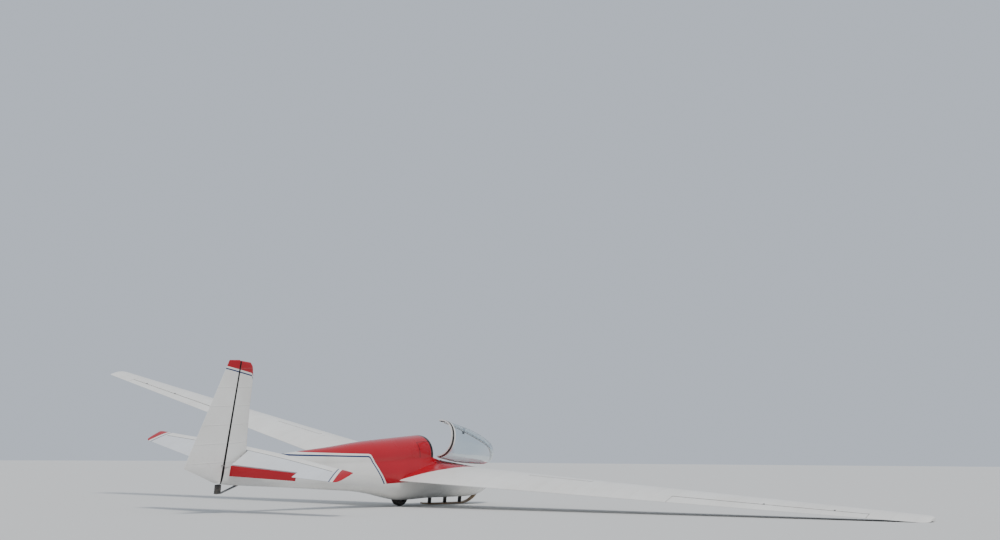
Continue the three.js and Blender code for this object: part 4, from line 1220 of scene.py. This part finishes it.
@dataclass
class WingHalf:
    """One wing with its aileron, its tip and the fairings over the aileron's horns.

    Places are distances out from the middle. The airbrake's row gives its inner end, its outer
    end and its share of the chord ahead of the trailing edge.
    """

    shop: Workshop
    side: Side
    aileron_inner: float = 5250.0
    aileron_outer: float = 8250.0
    aileron_share: float = 0.235
    tip_joint: float = 8950.0
    brake: tuple = (2450.0, 3650.0, 0.6)
    recess_half: float = 38.0
    recess_depth: float = 18.0
    horns: tuple = (6700.0, 7750.0)
    bay_gap: float = 9.0
    end_gap: float = 11.0

    def hinge(self, port: Points) -> tuple[Points, Points]:
        """The aileron hinge's place and the section's half thickness there."""
        x = 1 - self.aileron_share
        c = WING.chord(port)
        return WING.on_chord(port, self.aileron_share, WING.mean(x) * c), (WING.half(x) - 0.001) * c

    def zone(self, name: str, gap: float) -> Obj:
        """A cutter for all that lies behind the hinge line between the aileron's ends."""
        s = self.side.value
        ends = [s * (self.aileron_inner + gap), s * (self.aileron_outer - gap)]
        a, b = (self.hinge(np.array(p))[0] for p in ends)
        plan = np.array([[a[0], ends[0]], [b[0], ends[1]], [b[0] - 700, ends[1]], [a[0] - 700, ends[0]]])
        return prism(name, plan, -500, 1500, across=False)

    def nose(self, name: str, gap: float, extra: float) -> Obj:
        """The round nose of the aileron, or the hollow it turns in."""
        s = self.side.value
        ports = s * np.linspace(self.aileron_inner + gap, self.aileron_outer - gap, 12)
        places, radii = self.hinge(ports)
        return tube(name, places, radii + extra, 48)

    def build(self) -> None:
        """Makes every piece of this wing."""
        self.panel()
        self.aileron()
        self.tip()
        self.fairings()

    def panel(self) -> None:
        """The wing less the fuselage, the aileron's bay and the airbrake's slot."""
        s = self.side.value
        ports = s * np.linspace(300, self.tip_joint, 170)
        panel = loft(f"{self.side.label}_wing_skin", WING.rings(ports))
        carve(panel, LINES.solid("pod", -900, 2300, -SKIN_GAP, 26, 40.0))
        carve(panel, self.zone("bay", 0.0))
        carve(panel, self.nose("bay_nose", 0.0, self.bay_gap))
        inner, outer, share = self.brake
        inner, outer = inner - MOVING_GAP, outer + MOVING_GAP
        corners = []
        for port, sign in ((inner, 1), (outer, 1), (outer, -1), (inner, -1)):
            at = WING.on_chord(np.array(s * port), share)
            corners.append([at[0] + sign * self.recess_half, s * port])
        recess = prism("recess", np.array(corners), -300, 900, across=False)
        floor = np.array([0, 0, -self.recess_depth])
        carve(recess, loft("below", WING.rings(ports[::6], 30) + floor))
        carve(panel, recess)
        self.shop.fit(panel, "airframe", "white_fabric", "wing_paint", f"{self.side.label}_wing")

    def aileron(self) -> None:
        """A section cut at the hinge: its round nose, then the skin back to the trailing edge."""
        s = self.side.value
        ports = s * np.linspace(self.aileron_inner + self.end_gap, self.aileron_outer - self.end_gap, 90)
        places, radii = self.hinge(ports)
        x = np.linspace(1 - self.aileron_share, 1, 18)[None]
        port = ports[:, None]
        c = WING.chord(port)
        upper = WING.on_chord(port, 1 - x, (WING.mean(x) + WING.half(x)) * c)
        lower = WING.on_chord(port, 1 - x, (WING.mean(x) - WING.half(x)) * c)
        t = np.linspace(0, np.pi, 16)[None, 1:-1]
        around = radii[:, None]
        f = places[:, None, 0] + around * np.sin(t)
        u = places[:, None, 2] - around * np.cos(t)
        nose = np.stack([f, np.broadcast_to(port, f.shape), u], -1)
        ring = np.concatenate([upper, lower[:, ::-1], nose], axis=1)
        piece = loft(f"{self.side.label}_aileron_skin", ring)
        body = f"{self.side.label}_aileron"
        self.shop.fit(piece, body, "white_fabric", "wing_paint", body)

    def tip(self) -> None:
        """The rounded wing tip: the section shrinks along a quarter ellipse."""
        s = self.side.value
        t = np.linspace(0, 1, 26)
        ports = s * mix(self.tip_joint + SKIN_GAP, HALF_SPAN, t)
        scale = np.maximum(np.sqrt(np.maximum(1 - t**2, 0)) * 0.55 + 0.45, 0.45)
        piece = loft(f"{self.side.label}_tip_skin", WING.rings(ports, 40, scale))
        node = f"{self.side.label}_wing_tip"
        self.shop.fit(piece, "airframe", "white_fabric", "wing_paint", node)

    def fairings(self) -> None:
        """Small teardrop fairings over the aileron's horns, on top of the hinge line."""
        s = self.side.value
        for number, port in enumerate(self.horns):
            at, radius = self.hinge(np.array(s * port))
            t = np.linspace(0, 1, 24)
            up = at[2] + radius * 0.9 + 10 * np.sin(np.pi * t)
            path = np.stack([at[0] + 95 - 190 * t, np.full(24, s * port), up], -1)
            radii = 0.5 + 10.5 * np.sqrt(np.sin(np.pi * np.clip(t * 0.96 + 0.02, 0, 1)))
            pod = tube(f"{self.side.label}_horn_fairing_{number + 1}", path[:12], radii[:12], 16)
            self.shop.fit(pod, "airframe", "dark_steel", "dark_steel")


# Tail


@dataclass
class Fin:
    """The fin and the rudder behind it."""

    shop: Workshop
    fuselage: Fuselage
    top: float = 2085.0
    base: float = 480.0
    nose_share: float = 0.7
    edge: Callable = curve(
        [(400, -3160), (600, -3180), (1250, -3190), (1800, -3172), (1900, -3182), (1985, -3198),
         (2045, -3245), (2085, -3300)]
    )
    crest: tuple = ((-3560.0, 2092.0), (-3100.0, 2027.0))
    crest_round: float = 26.0
    rudder_edge: tuple = ((225.0, -3735.0), (500.0, -4370.0), (2088.0, -3668.0))
    horn: tuple = ((-3716, 55.5), (-3684, 55.5), (-3668, 93), (-3684, 96))
    horn_heights: tuple = (507.0, 514.0)

    def thickness(self, up: Points) -> Points:
        """Thickness at the hinge line, thinning upwards."""
        return mix(120.0, 58.0, (up - 225) / (self.top - 225))

    def half_ring(self, along: Points, half: Points, up: float) -> Points:
        """A closed flat ring from one side's outline and its mirror."""
        port = np.stack([along, half, np.full(len(along), up)], -1)
        star = port[1:][::-1] * np.array([1, -1, 1])
        return np.concatenate([port, star])

    def fin_ring(self, up: float) -> Points:
        """The fin's section: a parabola-nosed half that is nearly flat behind."""
        back = self.fuselage.hinge(up, self.thickness(up) / 2 * self.nose_share + 10)
        t = np.linspace(0, 1, 28) ** 1.6
        along = mix(float(self.edge(np.array(up))), back, t)
        nose = np.sqrt(t) * (1.25 - 0.25 * t)
        half = self.thickness(up) / 2 * nose * self.easing(self.crest_at(along) - up)
        return self.half_ring(along, half, up)

    def crest_at(self, forward: Points) -> Points:
        """The fin's sloping top edge."""
        (f0, u0), (f1, u1) = self.crest
        return mix(u0, u1, (forward - f0) / (f1 - f0))

    def easing(self, below: Points) -> Points:
        """The share of thickness left near a rounded edge: a quarter circle of the rounding's size."""
        share = 1 - np.clip(below / self.crest_round, 0, 1)
        return np.sqrt(np.clip(1 - share**2, 0.04, 1))

    def rudder_back(self, up: float) -> float:
        """The rudder's trailing edge at a height."""
        low, wide, high = self.rudder_edge
        if up < wide[0]:
            return mix(low[1], wide[1], (up - low[0]) / (wide[0] - low[0]))
        return mix(wide[1], high[1], (up - wide[0]) / (high[0] - wide[0]))

    def rudder_ring(self, up: float) -> Points:
        """The rudder's section: an elliptic nose, then straight sides to a thin edge."""
        front = self.fuselage.hinge(up)
        half = self.thickness(up) / 2 * float(self.easing(np.array(self.rudder_edge[2][0] - up)))
        t = np.linspace(0, np.pi / 2, 14)
        nose = np.stack([front + half * self.nose_share * np.cos(t), half * np.sin(t)], -1)
        back = self.rudder_back(up)
        s = np.linspace(0, 1, 14)[1:]
        side = np.stack([mix(front, back, s), mix(half, 4.5, s)], -1)
        outline = np.concatenate([nose, side])
        return self.half_ring(outline[:, 0], outline[:, 1], up)

    def build(self) -> None:
        """Makes the fin, the rudder and its two horns."""
        heights = np.concatenate([np.linspace(self.base, 1980, 50), np.linspace(1988, self.top, 26)])
        fin = loft("fin_skin", np.stack([self.fin_ring(u) for u in heights]))
        (f0, u0), (f1, u1) = self.crest
        above = np.array([[f0, u0], [f1, u1], [f1, 2400], [f0, 2400]])
        carve(fin, prism("above", above, -100, 100, across=True))
        carve(fin, LINES.solid("boom", TAIL_END, -2900, -SKIN_GAP, 20, 60.0))
        carve(fin, tube("way", np.array([[-3300, -200, 605], [-3300, 200, 605]], float), 25.0, 32))
        self.shop.fit(fin, "airframe", "white_fabric", "tail_paint", "fin")
        high = self.rudder_edge[2][0]
        spans = ((240, 500, 14), (540, high - 40, 40), (high - 30, high, 16))
        heights = np.concatenate([np.linspace(*span) for span in spans])
        rudder = loft("rudder_skin", np.stack([self.rudder_ring(u) for u in heights]))
        self.shop.fit(rudder, "rudder", "white_fabric", "tail_paint", "rudder")
        for side in Side:
            plan = np.array(self.horn) * np.array([1, side.value])
            plate = rounded(prism(f"{side.label}_horn_plate", plan, *self.horn_heights, across=False), 1.4)
            self.shop.fit(plate, "rudder", "dark_steel", "dark_steel", f"{side.label}_rudder_horn")


@dataclass
class Tailplane:
    """The all-moving tailplane, drooped as it parks, with a tab on its starboard half."""

    shop: Workshop
    pivot: tuple = (-3300.0, 605.0)
    half_span: float = 2150.0
    droop: float = math.radians(22)
    tab_droop: float = math.radians(66)
    tab_inner: float = 105.0
    tab_outer: float = 1330.0
    tab_chord: float = 110.0
    tab_root_chord: float = 155.0
    tab_nose: float = 6.0
    tab_bay_gap: float = 10.0
    notch: tuple = ((155, 25), (60, 62), (-190, 105), (-900, 105))
    front: Callable = curve([(0, 300), (600, 298), (1300, 266), (1750, 243), (2060, 232), (2150, 222)])
    drawn: Callable = curve([(2060, 0), (2110, 22), (2138, 80), (2150, 170)])
    thinned: Callable = curve([(2060, 1), (2110, 0.85), (2138, 0.65), (2150, 0.45)])

    def back(self, port: Points) -> Points:
        """The trailing edge, behind the pivot."""
        return mix(-405.0, -94.0, np.abs(port) / self.half_span)

    def seat(self, local: Points) -> Points:
        """Turns points from the tailplane's own line to its drooped place on the airframe."""
        f, p, u = local[..., 0], local[..., 1], local[..., 2]
        c, s = math.cos(self.droop), math.sin(self.droop)
        return np.stack([self.pivot[0] + f * c - u * s, p, self.pivot[1] + f * s + u * c], -1)

    def rings(self, ports: Points) -> Points:
        """Symmetric section rings; near the tip the back is drawn forward and the section thins."""
        x = (1 - np.cos(np.linspace(0, np.pi, 33))) / 2
        port = np.asarray(ports, float)[:, None]
        out = np.abs(port)
        chord = self.front(out) - self.back(out) - self.drawn(out)
        half = (WING.half(x) * 0.1 / 0.18 + 0.0045)[None] * chord * self.thinned(out)
        f = self.front(out) - x[None] * chord
        flat = np.broadcast_to(port, f.shape)
        upper = np.stack([f, flat, half], -1)
        lower = np.stack([f, flat, -half], -1)
        return np.concatenate([upper, lower[:, ::-1]], axis=1)

    def prism_plan(self, name: str, plan: Points) -> Obj:
        """A cutter whose outline is drawn on the tailplane's own plane."""
        rings = np.stack([np.concatenate([plan, np.full((len(plan), 1), h)], 1) for h in (-200.0, 200.0)])
        return loft(name, self.seat(rings))

    def build(self) -> None:
        """Makes both halves and the tab."""
        mirrored = [(f, -p) for f, p in self.notch[::-1]]
        round_tip = 2060 + 90 * np.sin(np.linspace(0, np.pi / 2, 24))
        out = np.concatenate([np.linspace(0.15, 2040, 70), round_tip])
        for side in Side:
            s = side.value
            half = loft(f"{side.label}_tailplane_skin", self.seat(self.rings(s * out)))
            carve(half, self.prism_plan("notch", np.array([*self.notch, *mirrored], float)))
            if side is Side.STARBOARD:
                inner = self.tab_inner - MOVING_GAP
                depth = self.tab_chord + self.tab_nose + self.tab_bay_gap
                bay = [(self.back(p) + depth, s * p) for p in (inner, self.tab_outer)]
                bay += [(-900.0, s * self.tab_outer), (-900.0, s * inner)]
                carve(half, self.prism_plan("tab_bay", np.array(bay, float)))
            body = f"{side.label}_tailplane"
            self.shop.fit(half, "tailplane", "white_fabric", "tailplane_paint", body)
        self.tab(Side.STARBOARD)

    def tab(self, side: Side) -> None:
        """The tab: a wedge with a round nose, turned down about its swept hinge."""
        s = side.value
        rows = np.linspace(self.tab_inner + 2, self.tab_outer - MOVING_GAP, 30)
        hinge = self.back(rows) + self.tab_chord
        t = np.linspace(-np.pi / 2, np.pi / 2, 9)
        nose = np.stack([self.tab_nose * 0.9 * np.cos(t), 7.6 * np.sin(t)], -1)
        tail = np.array([[-0.55, 5.2], [-1.0, 2.0], [-1.0, -2.0], [-0.55, -5.2]])
        outline = np.concatenate([nose, tail])
        inward = (self.tab_outer - rows) / (self.tab_outer - self.tab_inner)
        chord = mix(self.tab_chord, self.tab_root_chord, inward)
        ahead = outline[None, :, 0]
        behind = np.where(ahead < 0, ahead * chord[:, None], ahead)
        shape = (len(rows), len(outline))
        across = np.broadcast_to((s * rows)[:, None], shape)
        local = np.stack([hinge[:, None] + behind, across, np.broadcast_to(outline[None, :, 1], shape)], -1)
        inner = np.array([self.back(self.tab_inner) + self.tab_chord, s * self.tab_inner, 0.0])
        outer = np.array([self.back(self.tab_outer) + self.tab_chord, s * self.tab_outer, 0.0])
        axis = (outer - inner) / np.linalg.norm(outer - inner) * s
        turned = self.turn(local - inner, axis, -self.tab_droop) + inner
        piece = loft(f"{side.label}_tab_skin", self.seat(turned))
        body = f"{side.label}_tab"
        self.shop.fit(piece, body, "white_fabric", "tab_paint", body)

    def turn(self, points: Points, axis: Points, angle: float) -> Points:
        """Turns points about an axis through zero, by the cosine, sine and remainder of the angle."""
        c, s = math.cos(angle), math.sin(angle)
        across = np.cross(axis, points)
        along = (points @ axis)[..., None] * axis
        return points * c + across * s + along * (1 - c)


# Ground gear


def ground_up(forward: float) -> float:
    """The ground's height under the centre line, in the airframe's axes."""
    level = math.cos(PITCH) * math.cos(BANK)
    return -(GROUND_AT_ORIGIN + forward * math.sin(PITCH) * math.cos(BANK)) / level


@dataclass
class GroundGear:
    """Main wheel, nose skid on its blocks, and the tail skid.

    The tail block's row gives its middle, its half length and its half width.
    """

    shop: Workshop
    fuselage: Fuselage
    half_width: float = 65.0
    grooves: tuple = (-0.42, -0.16, 0.16, 0.42)
    skid_half_width: float = 38.0
    skid_thick: float = 24.0
    skid_rear: tuple = ((1180, -540), (1360, -562))
    skid_front: tuple = ((2560, -612), (2720, -545), (2800, -480))
    skid_blocks: tuple = (("rear", 1400.0), ("middle", 1850.0), ("front", 2300.0))
    leaf: tuple = ((-3310, 168), (-3636, 74), (-3742, 74), (-3742, 82), (-3634, 82), (-3310, 182))
    leaf_half_width: float = 24.0
    tail_block: tuple = (-3691.0, 49.0, 30.0)
    tail_block_span: tuple = (82.3, 210.0)

    def wheel_up(self) -> float:
        """The axle's height."""
        return ground_up(WHEEL_FORWARD) + WHEEL_RADIUS / math.cos(PITCH) / math.cos(BANK)

    def sole(self, forward: Points) -> Points:
        """The height at which a skid leaning with the machine just touches the ground."""
        return ground_up(forward) + self.skid_half_width * math.tan(BANK)

    def build(self) -> None:
        """Makes the wheel and both skids."""
        self.wheel()
        self.nose_skid()
        self.tail_skid()

    def wheel(self) -> None:
        """A ribbed tyre: a rounded profile with four grooves, turned about the axle."""
        r, w = WHEEL_RADIUS, self.half_width
        t = np.linspace(-1, 1, 61)
        crown = r - 0.4 - 26 * np.abs(t) ** 3.2
        for groove in self.grooves:
            crown -= 4.0 * np.exp(-(((t - groove) / 0.035) ** 2))
        tread = np.stack([w * t, crown], -1)
        down = np.linspace(0, 1, 10)[1:]
        bulge = w * (1 - 0.38 * down**2) + 3 * np.sin(np.pi * down)
        right = np.stack([bulge, mix(r - 26.4, 96.5, down)], -1)
        left = right[::-1] * np.array([-1, 1])
        profile = np.concatenate([tread, right, left])
        centre = (WHEEL_FORWARD, 0.0, self.wheel_up())
        tyre = lathe("main_tyre_ribbed", profile, centre, (0, 1, 0), 128)
        self.shop.fit(tyre, "main_wheel", "tyre", "tyre", "main_tyre")

    def nose_skid(self) -> None:
        """A wooden runner that rests on the ground, under three rubber blocks."""
        flat = [(1620, self.sole(1620.0)), (2350, self.sole(2350.0))]
        bend = curve([*self.skid_rear, *flat, *self.skid_front])
        f = np.linspace(self.skid_rear[0][0], self.skid_front[-1][0], 90)
        base = np.maximum(bend(f), self.sole(f))
        half, thick = self.skid_half_width, self.skid_thick
        flank = np.array([[0.94, 0.0], [1, 0.12], [1, 0.88], [0.9, 1.0]])
        shape = np.concatenate([flank, flank[::-1] * np.array([-1, 1])])
        slope = np.gradient(base, f)
        lift = np.stack([-slope, np.ones_like(slope)], -1) / np.sqrt(1 + slope**2)[:, None]
        rings = np.stack(
            [
                f[:, None] + lift[:, :1] * thick * shape[None, :, 1],
                np.broadcast_to(half * shape[None, :, 0], (len(f), len(shape))),
                base[:, None] + lift[:, 1:] * thick * shape[None, :, 1] + 0.6,
            ],
            -1,
        )
        runner = loft("skid_runner", rings)
        carve(runner, LINES.solid("pod", 900, 3000, -0.4, 20, 60.0))
        self.shop.fit(runner, "airframe", "bare_wood", "skid_wood", "nose_skid")
        for name, forward in self.skid_blocks:
            low = max(float(bend(np.array([forward]))[0]), self.sole(forward)) + thick + 1.3
            high = float(LINES.belly(np.array([forward]))[0]) + 1.0
            h = np.linspace(0, 1, 30)
            bulge = 31 + 3.0 * np.abs(np.sin(3 * np.pi * h)) ** 0.6
            side = np.stack([mix(low, high, h), bulge], -1)
            profile = np.concatenate([[[low, 0.01]], side, [[high, 0.01]]])
            block = lathe(f"{name}_rubber_block", profile, (forward, 0, 0), (0, 0, 1), 40)
            carve(block, LINES.solid("pod", 1200, 2600, -0.4, 20, 60.0))
            self.shop.fit(block, "airframe", "rubber", "rubber", f"{name}_skid_block")

    def tail_skid(self) -> None:
        """A flat leaf spring, and the ribbed rubber block between its end and the boom."""
        width = self.leaf_half_width
        spring = prism("tail_skid_leaf", np.array(self.leaf, float), -width, width, across=True)
        carve(spring, LINES.solid("boom", TAIL_END, -2900, 0.0, 20, 60.0))
        rounded(spring, 1.5)
        self.shop.fit(spring, "airframe", "dark_steel", "dark_steel", "tail_skid_spring")
        h = np.linspace(0, 1, 41)[:, None]
        t = np.linspace(0, 2 * np.pi, 64, endpoint=False)[None]
        rib = 1 - 0.05 * (0.5 - 0.5 * np.cos(8 * np.pi * h))
        plan_f, plan_p = signed_power(np.cos(t), 0.35), signed_power(np.sin(t), 0.35)
        up = np.broadcast_to(mix(*self.tail_block_span, h), rib.shape[:1] + t.shape[1:])
        middle, half_length, half_width = self.tail_block
        rings = np.stack([middle + half_length * plan_f * rib, half_width * plan_p * rib, up], -1)
        block = loft("tail_skid_block", rings)
        boom = LINES.solid("boom_end", TAIL_END, -2900, -SKIN_GAP, 20, 60.0)
        carve(boom, self.fuselage.behind_hinge(-SKIN_GAP))
        carve(block, boom)
        self.shop.fit(block, "airframe", "rubber", "rubber", "tail_skid_shoe")


# Cockpit


def vertices(mesh: bpy.types.Mesh) -> Points:
    """A mesh's vertex positions as one (n, 3) array."""
    co = np.empty(len(mesh.vertices) * 3, np.float32)
    mesh.vertices.foreach_get("co", co)
    return co.reshape(-1, 3).astype(float)


def baked(obj: Obj) -> Obj:
    """Applies an object's modifiers to its mesh."""
    graph = bpy.context.evaluated_depsgraph_get()
    made = bpy.data.meshes.new_from_object(obj.evaluated_get(graph))
    obj.modifiers.clear()
    old = obj.data
    obj.data = made
    bpy.data.meshes.remove(old)
    return obj


def inflate(obj: Obj) -> None:
    """Blows a cushion up with the cloth solver, then smooths it by one subdivision.

    The cushion is first cut into even small squares. How far any point moves is capped.

    Args:
        obj: the cushion, changed in place.
    """
    remesh = obj.modifiers.new("even", "REMESH")
    remesh.mode = "VOXEL"
    remesh.voxel_size = CLOTH_SQUARE
    baked(obj)
    start = vertices(obj.data)
    cloth = obj.modifiers.new("cloth", "CLOTH")
    cloth.settings.quality = 5
    cloth.settings.mass = 0.3
    cloth.settings.use_pressure = True
    cloth.settings.uniform_pressure_force = CLOTH_PRESSURE
    cloth.settings.effector_weights.gravity = 0.0
    cloth.point_cache.frame_start = 1
    cloth.point_cache.frame_end = CLOTH_FRAMES
    for number in range(1, CLOTH_FRAMES + 1):
        bpy.context.scene.frame_set(number)
    baked(obj)
    bpy.context.scene.frame_set(1)
    moved = vertices(obj.data) - start
    far = np.linalg.norm(moved, axis=1)
    moved *= np.minimum(1.0, CLOTH_CAP / np.maximum(far, 1e-9))[:, None]
    obj.data.vertices.foreach_set("co", (start + moved).astype(np.float32).ravel())
    obj.modifiers.new("soft", "SUBSURF").levels = 1
    baked(obj)
    shade(obj, 60.0)
    LOG.info("%s: blown up by up to %.1f mm", obj.name, 1000 * float(np.linalg.norm(moved, axis=1).max()))


@dataclass
class Cockpit:
    """Cushions, straps, sticks and dials, with each side's own hip place.

    Each pad's row gives its kind, how far ahead of the hip and how high its middle lies, its
    half sizes and its lean.
    """

    shop: Workshop
    hips: tuple = ((Side.PORT, 1230.0), (Side.STARBOARD, 1130.0))
    seat_centre: float = 176.0
    pads: tuple = (("seat", 228, -261, (175, 140, 29), 0.155), ("back", -29, -68, (22, 138, 224), 0.245))
    squareness: float = 0.32
    channel_place: float = 0.34
    channel_depth: float = 0.22
    crown: float = 0.16
    strap_places: tuple = (-62.0, 62.0)
    strap_half: float = 22.0
    strap_thick: float = 2.0
    dial_places: tuple = (-150, -75, 0, 75, 150)
    dial_profile: tuple = ((0, 0.01), (0, 34), (5, 36), (9, 35), (9, 31), (4, 30), (4, 0.01))

    def build(self) -> None:
        """Makes each seat and the shared panel."""
        for side, hip in self.hips:
            centre = side.value * self.seat_centre
            for kind, ahead, up, half, lean in self.pads:
                self.pad(f"{side.label}_{kind}", (hip + ahead, centre, up), half, lean)
            self.stick(side, hip, centre)
            self.belts(side, hip, centre)
        self.panel()

    def pad(self, name: str, centre: tuple, half: tuple, lean: float) -> None:
        """A crowned cushion: a rounded box with sewn channels, blown up as cloth.

        Args:
            name: which cushion it is.
            centre: its middle, in airframe millimetres.
            half: half sizes forward, to port and up.
            lean: tilt in radians about the cross axis.
        """
        n = 36
        a = np.linspace(-np.pi / 2, np.pi / 2, n)[:, None]
        b = np.linspace(-np.pi, np.pi, 2 * n, endpoint=False)[None]
        seat = half[0] > half[2]
        thin = half[2] if seat else half[0]
        waves = (np.cos(a), np.sin(a), np.cos(b), np.sin(b))
        ca, sa, cb, sb = (signed_power(wave, self.squareness) for wave in waves)
        x, y, z = np.broadcast_arrays(ca * cb, ca * sb, sa)
        groove = np.exp(-(((np.abs(y) - self.channel_place) / 0.035) ** 2))
        channel = 1 - self.channel_depth * groove * (np.abs(z) > 0.2 if seat else 1.0)
        crown = 1 + self.crown * (1 - np.clip(x if seat else z, -1, 1) ** 2)
        if seat:
            local = np.stack([x * half[0], y * half[1], z * thin * crown * channel], -1)
        else:
            local = np.stack([z * thin * crown * channel, y * half[1], x * half[2]], -1)
        c, s = math.cos(lean), math.sin(lean)
        f = local[..., 0] * c - local[..., 2] * s
        u = local[..., 0] * s + local[..., 2] * c
        points = np.stack([f + centre[0], local[..., 1] + centre[1], u + centre[2]], -1)
        piece = loft(f"{name}_pad", points[1:-1])
        inflate(piece)
        self.shop.fit(piece, "airframe", "cloth", "seat_cloth", f"{name}_cushion")

    def stick(self, side: Side, hip: float, centre: float) -> None:
        """A control stick: a straight rod with a ribbed grip."""
        foot = np.array([hip + 520, centre, -358.0])
        top = np.array([hip + 470, centre, 6.0])
        t = np.linspace(0, 1, 40)[:, None]
        path = mix(foot, top, t)
        share = t[:, 0]
        radii = np.where(share > 0.72, 15 + 1.6 * np.cos((share - 0.72) * 120), 9.0)
        radii = np.where(share > 0.97, 9.0, radii)
        piece = tube(f"{side.label}_stick_grip", path, radii, 24)
        self.shop.fit(piece, "airframe", "black_plastic", "black_plastic", f"{side.label}_stick")

    def belts(self, side: Side, hip: float, centre: float) -> None:
        """Two shoulder straps lying down the back pad."""
        for number, shift in enumerate(self.strap_places):
            t = np.linspace(0, 1, 40)
            f = mix(hip - 53, hip + 43, t) + 12 * np.sin(np.pi * t)
            u = mix(176.0, -224.0, t)
            shape = np.array([[-1, 0], [1, 0], [1, 1], [-1, 1]], float)
            across = centre + shift + self.strap_half * shape[None, :, 0]
            ahead = f[:, None] + self.strap_thick * shape[None, :, 1]
            rings = np.stack(np.broadcast_arrays(ahead, across, u[:, None]), -1)
            strap = loft(f"{side.label}_strap_{number + 1}", rings)
            self.shop.fit(strap, "airframe", "cloth", "strap_cloth")

    def panel(self) -> None:
        """Five round dials with raised rims on the CAD panel."""
        lean = math.atan2(26, 130)
        face = np.array([2146.0, 0.0, 25.0])
        normal = np.array([-math.cos(lean), 0.0, -math.sin(lean)])
        climb = np.array([-math.sin(lean), 0.0, math.cos(lean)])
        profile = np.array(self.dial_profile, float)
        for number, port in enumerate(self.dial_places):
            centre = face + np.array([0, port, 0]) + climb * 8 + normal * 0.5
            dial = lathe(f"dial_{number + 1}", profile, centre, normal, 40)
            self.shop.fit(dial, "airframe", "black_plastic", "black_plastic")


# Nodes that stay, light and camera


NODE_FINISHES = (
    ("_airbrake", "frame_paint"),
    ("_seat_pan", "ply_wood"),
    ("cockpit_floor", "ply_wood"),
    ("seat_bulkhead", "cockpit_paint"),
    ("_pedals", "steel"),
    ("_canopy_hinge", "steel"),
    ("instrument_panel", "black_plastic"),
    ("_wheel_plate", "dark_steel"),
    ("main_axle", "dark_steel"),
    ("main_wheel_hub", "steel"),
    ("tailplane_tube", "steel"),
)


def dress_nodes(shop: Workshop) -> None:
    """Gives every CAD node that stays in sight its finish."""
    for name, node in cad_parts.items():
        if not node.hide_render:
            finish = next((finish for part, finish in NODE_FINISHES if part in name), "dark_steel")
            node.data.materials.clear()
            node.data.materials.append(shop.made[finish])


@dataclass(frozen=True)
class Daylight:
    """A pale floor under soft daylight: an even sky and a wide sun."""

    floor_size: float = 400.0
    floor_colour: tuple = (0.62, 0.62, 0.61, 1.0)
    floor_roughness: float = 0.9
    sky_colour: tuple = (0.80, 0.88, 1.0, 1.0)
    sky_strength: float = 0.7
    sun_strength: float = 2.4
    sun_width: float = math.radians(14)
    sun_colour: tuple = (1.0, 0.97, 0.92)
    sun_from: tuple = (-0.55, 0.35, 1.0)

    def build(self) -> None:
        """Makes the floor, the sky and the sun."""
        bpy.ops.mesh.primitive_plane_add(size=self.floor_size)
        floor = bpy.context.active_object
        floor.name = "floor"
        material = bpy.data.materials.new("floor_paint")
        material.use_nodes = True
        shader = material.node_tree.nodes["Principled BSDF"]
        shader.inputs["Base Color"].default_value = self.floor_colour
        shader.inputs["Roughness"].default_value = self.floor_roughness
        floor.data.materials.append(material)
        world = bpy.data.worlds.new("daylight")
        bpy.context.scene.world = world
        world.use_nodes = True
        background = world.node_tree.nodes["Background"]
        background.inputs["Color"].default_value = self.sky_colour
        background.inputs["Strength"].default_value = self.sky_strength
        sun = bpy.data.lights.new("key", "SUN")
        sun.energy = self.sun_strength
        sun.angle = self.sun_width
        sun.color = self.sun_colour
        lamp = bpy.data.objects.new("key", sun)
        bpy.context.scene.collection.objects.link(lamp)
        lamp.rotation_euler = Vector(self.sun_from).to_track_quat("Z", "Y").to_euler()


@dataclass(frozen=True)
class PhotoCamera:
    """The camera as fitted to the photograph: its place, line of sight, small roll and lens."""

    eye: tuple = (-14.3125, 16.0603, 0.836)
    look: tuple = (0.57572, -0.80381, 0.14981)
    roll: float = 0.00588
    focal_pixels: float = 1245.57
    width_pixels: float = 1000.0
    sensor: float = 36.0
    far: float = 500.0

    def build(self) -> None:
        """Makes it the scene's camera."""
        look = Vector(self.look).normalized()
        right = look.cross(Vector((0, 0, 1))).normalized()
        up = right.cross(look)
        c, s = math.cos(self.roll), math.sin(self.roll)
        lens = bpy.data.cameras.new("photo")
        lens.sensor_width = self.sensor
        lens.lens = self.focal_pixels / self.width_pixels * self.sensor
        lens.clip_end = self.far
        camera = bpy.data.objects.new("photo", lens)
        bpy.context.scene.collection.objects.link(camera)
        basis = Matrix((right * c + up * s, up * c - right * s, -look)).transposed()
        camera.matrix_world = Matrix.Translation(Vector(self.eye)) @ basis.to_4x4()
        bpy.context.scene.camera = camera


def main() -> None:
    """Builds the sailplane, dresses the nodes that stay, and sets the scene."""
    shop = Workshop()
    PhotoCamera().build()
    Daylight().build()
    fuselage = Fuselage(shop)
    fuselage.build()
    Canopy(shop).build()
    for side in Side:
        WingHalf(shop, side).build()
    Fin(shop, fuselage).build()
    Tailplane(shop).build()
    GroundGear(shop, fuselage).build()
    Cockpit(shop).build()
    dress_nodes(shop)


if __name__ == "__main__":
    main()
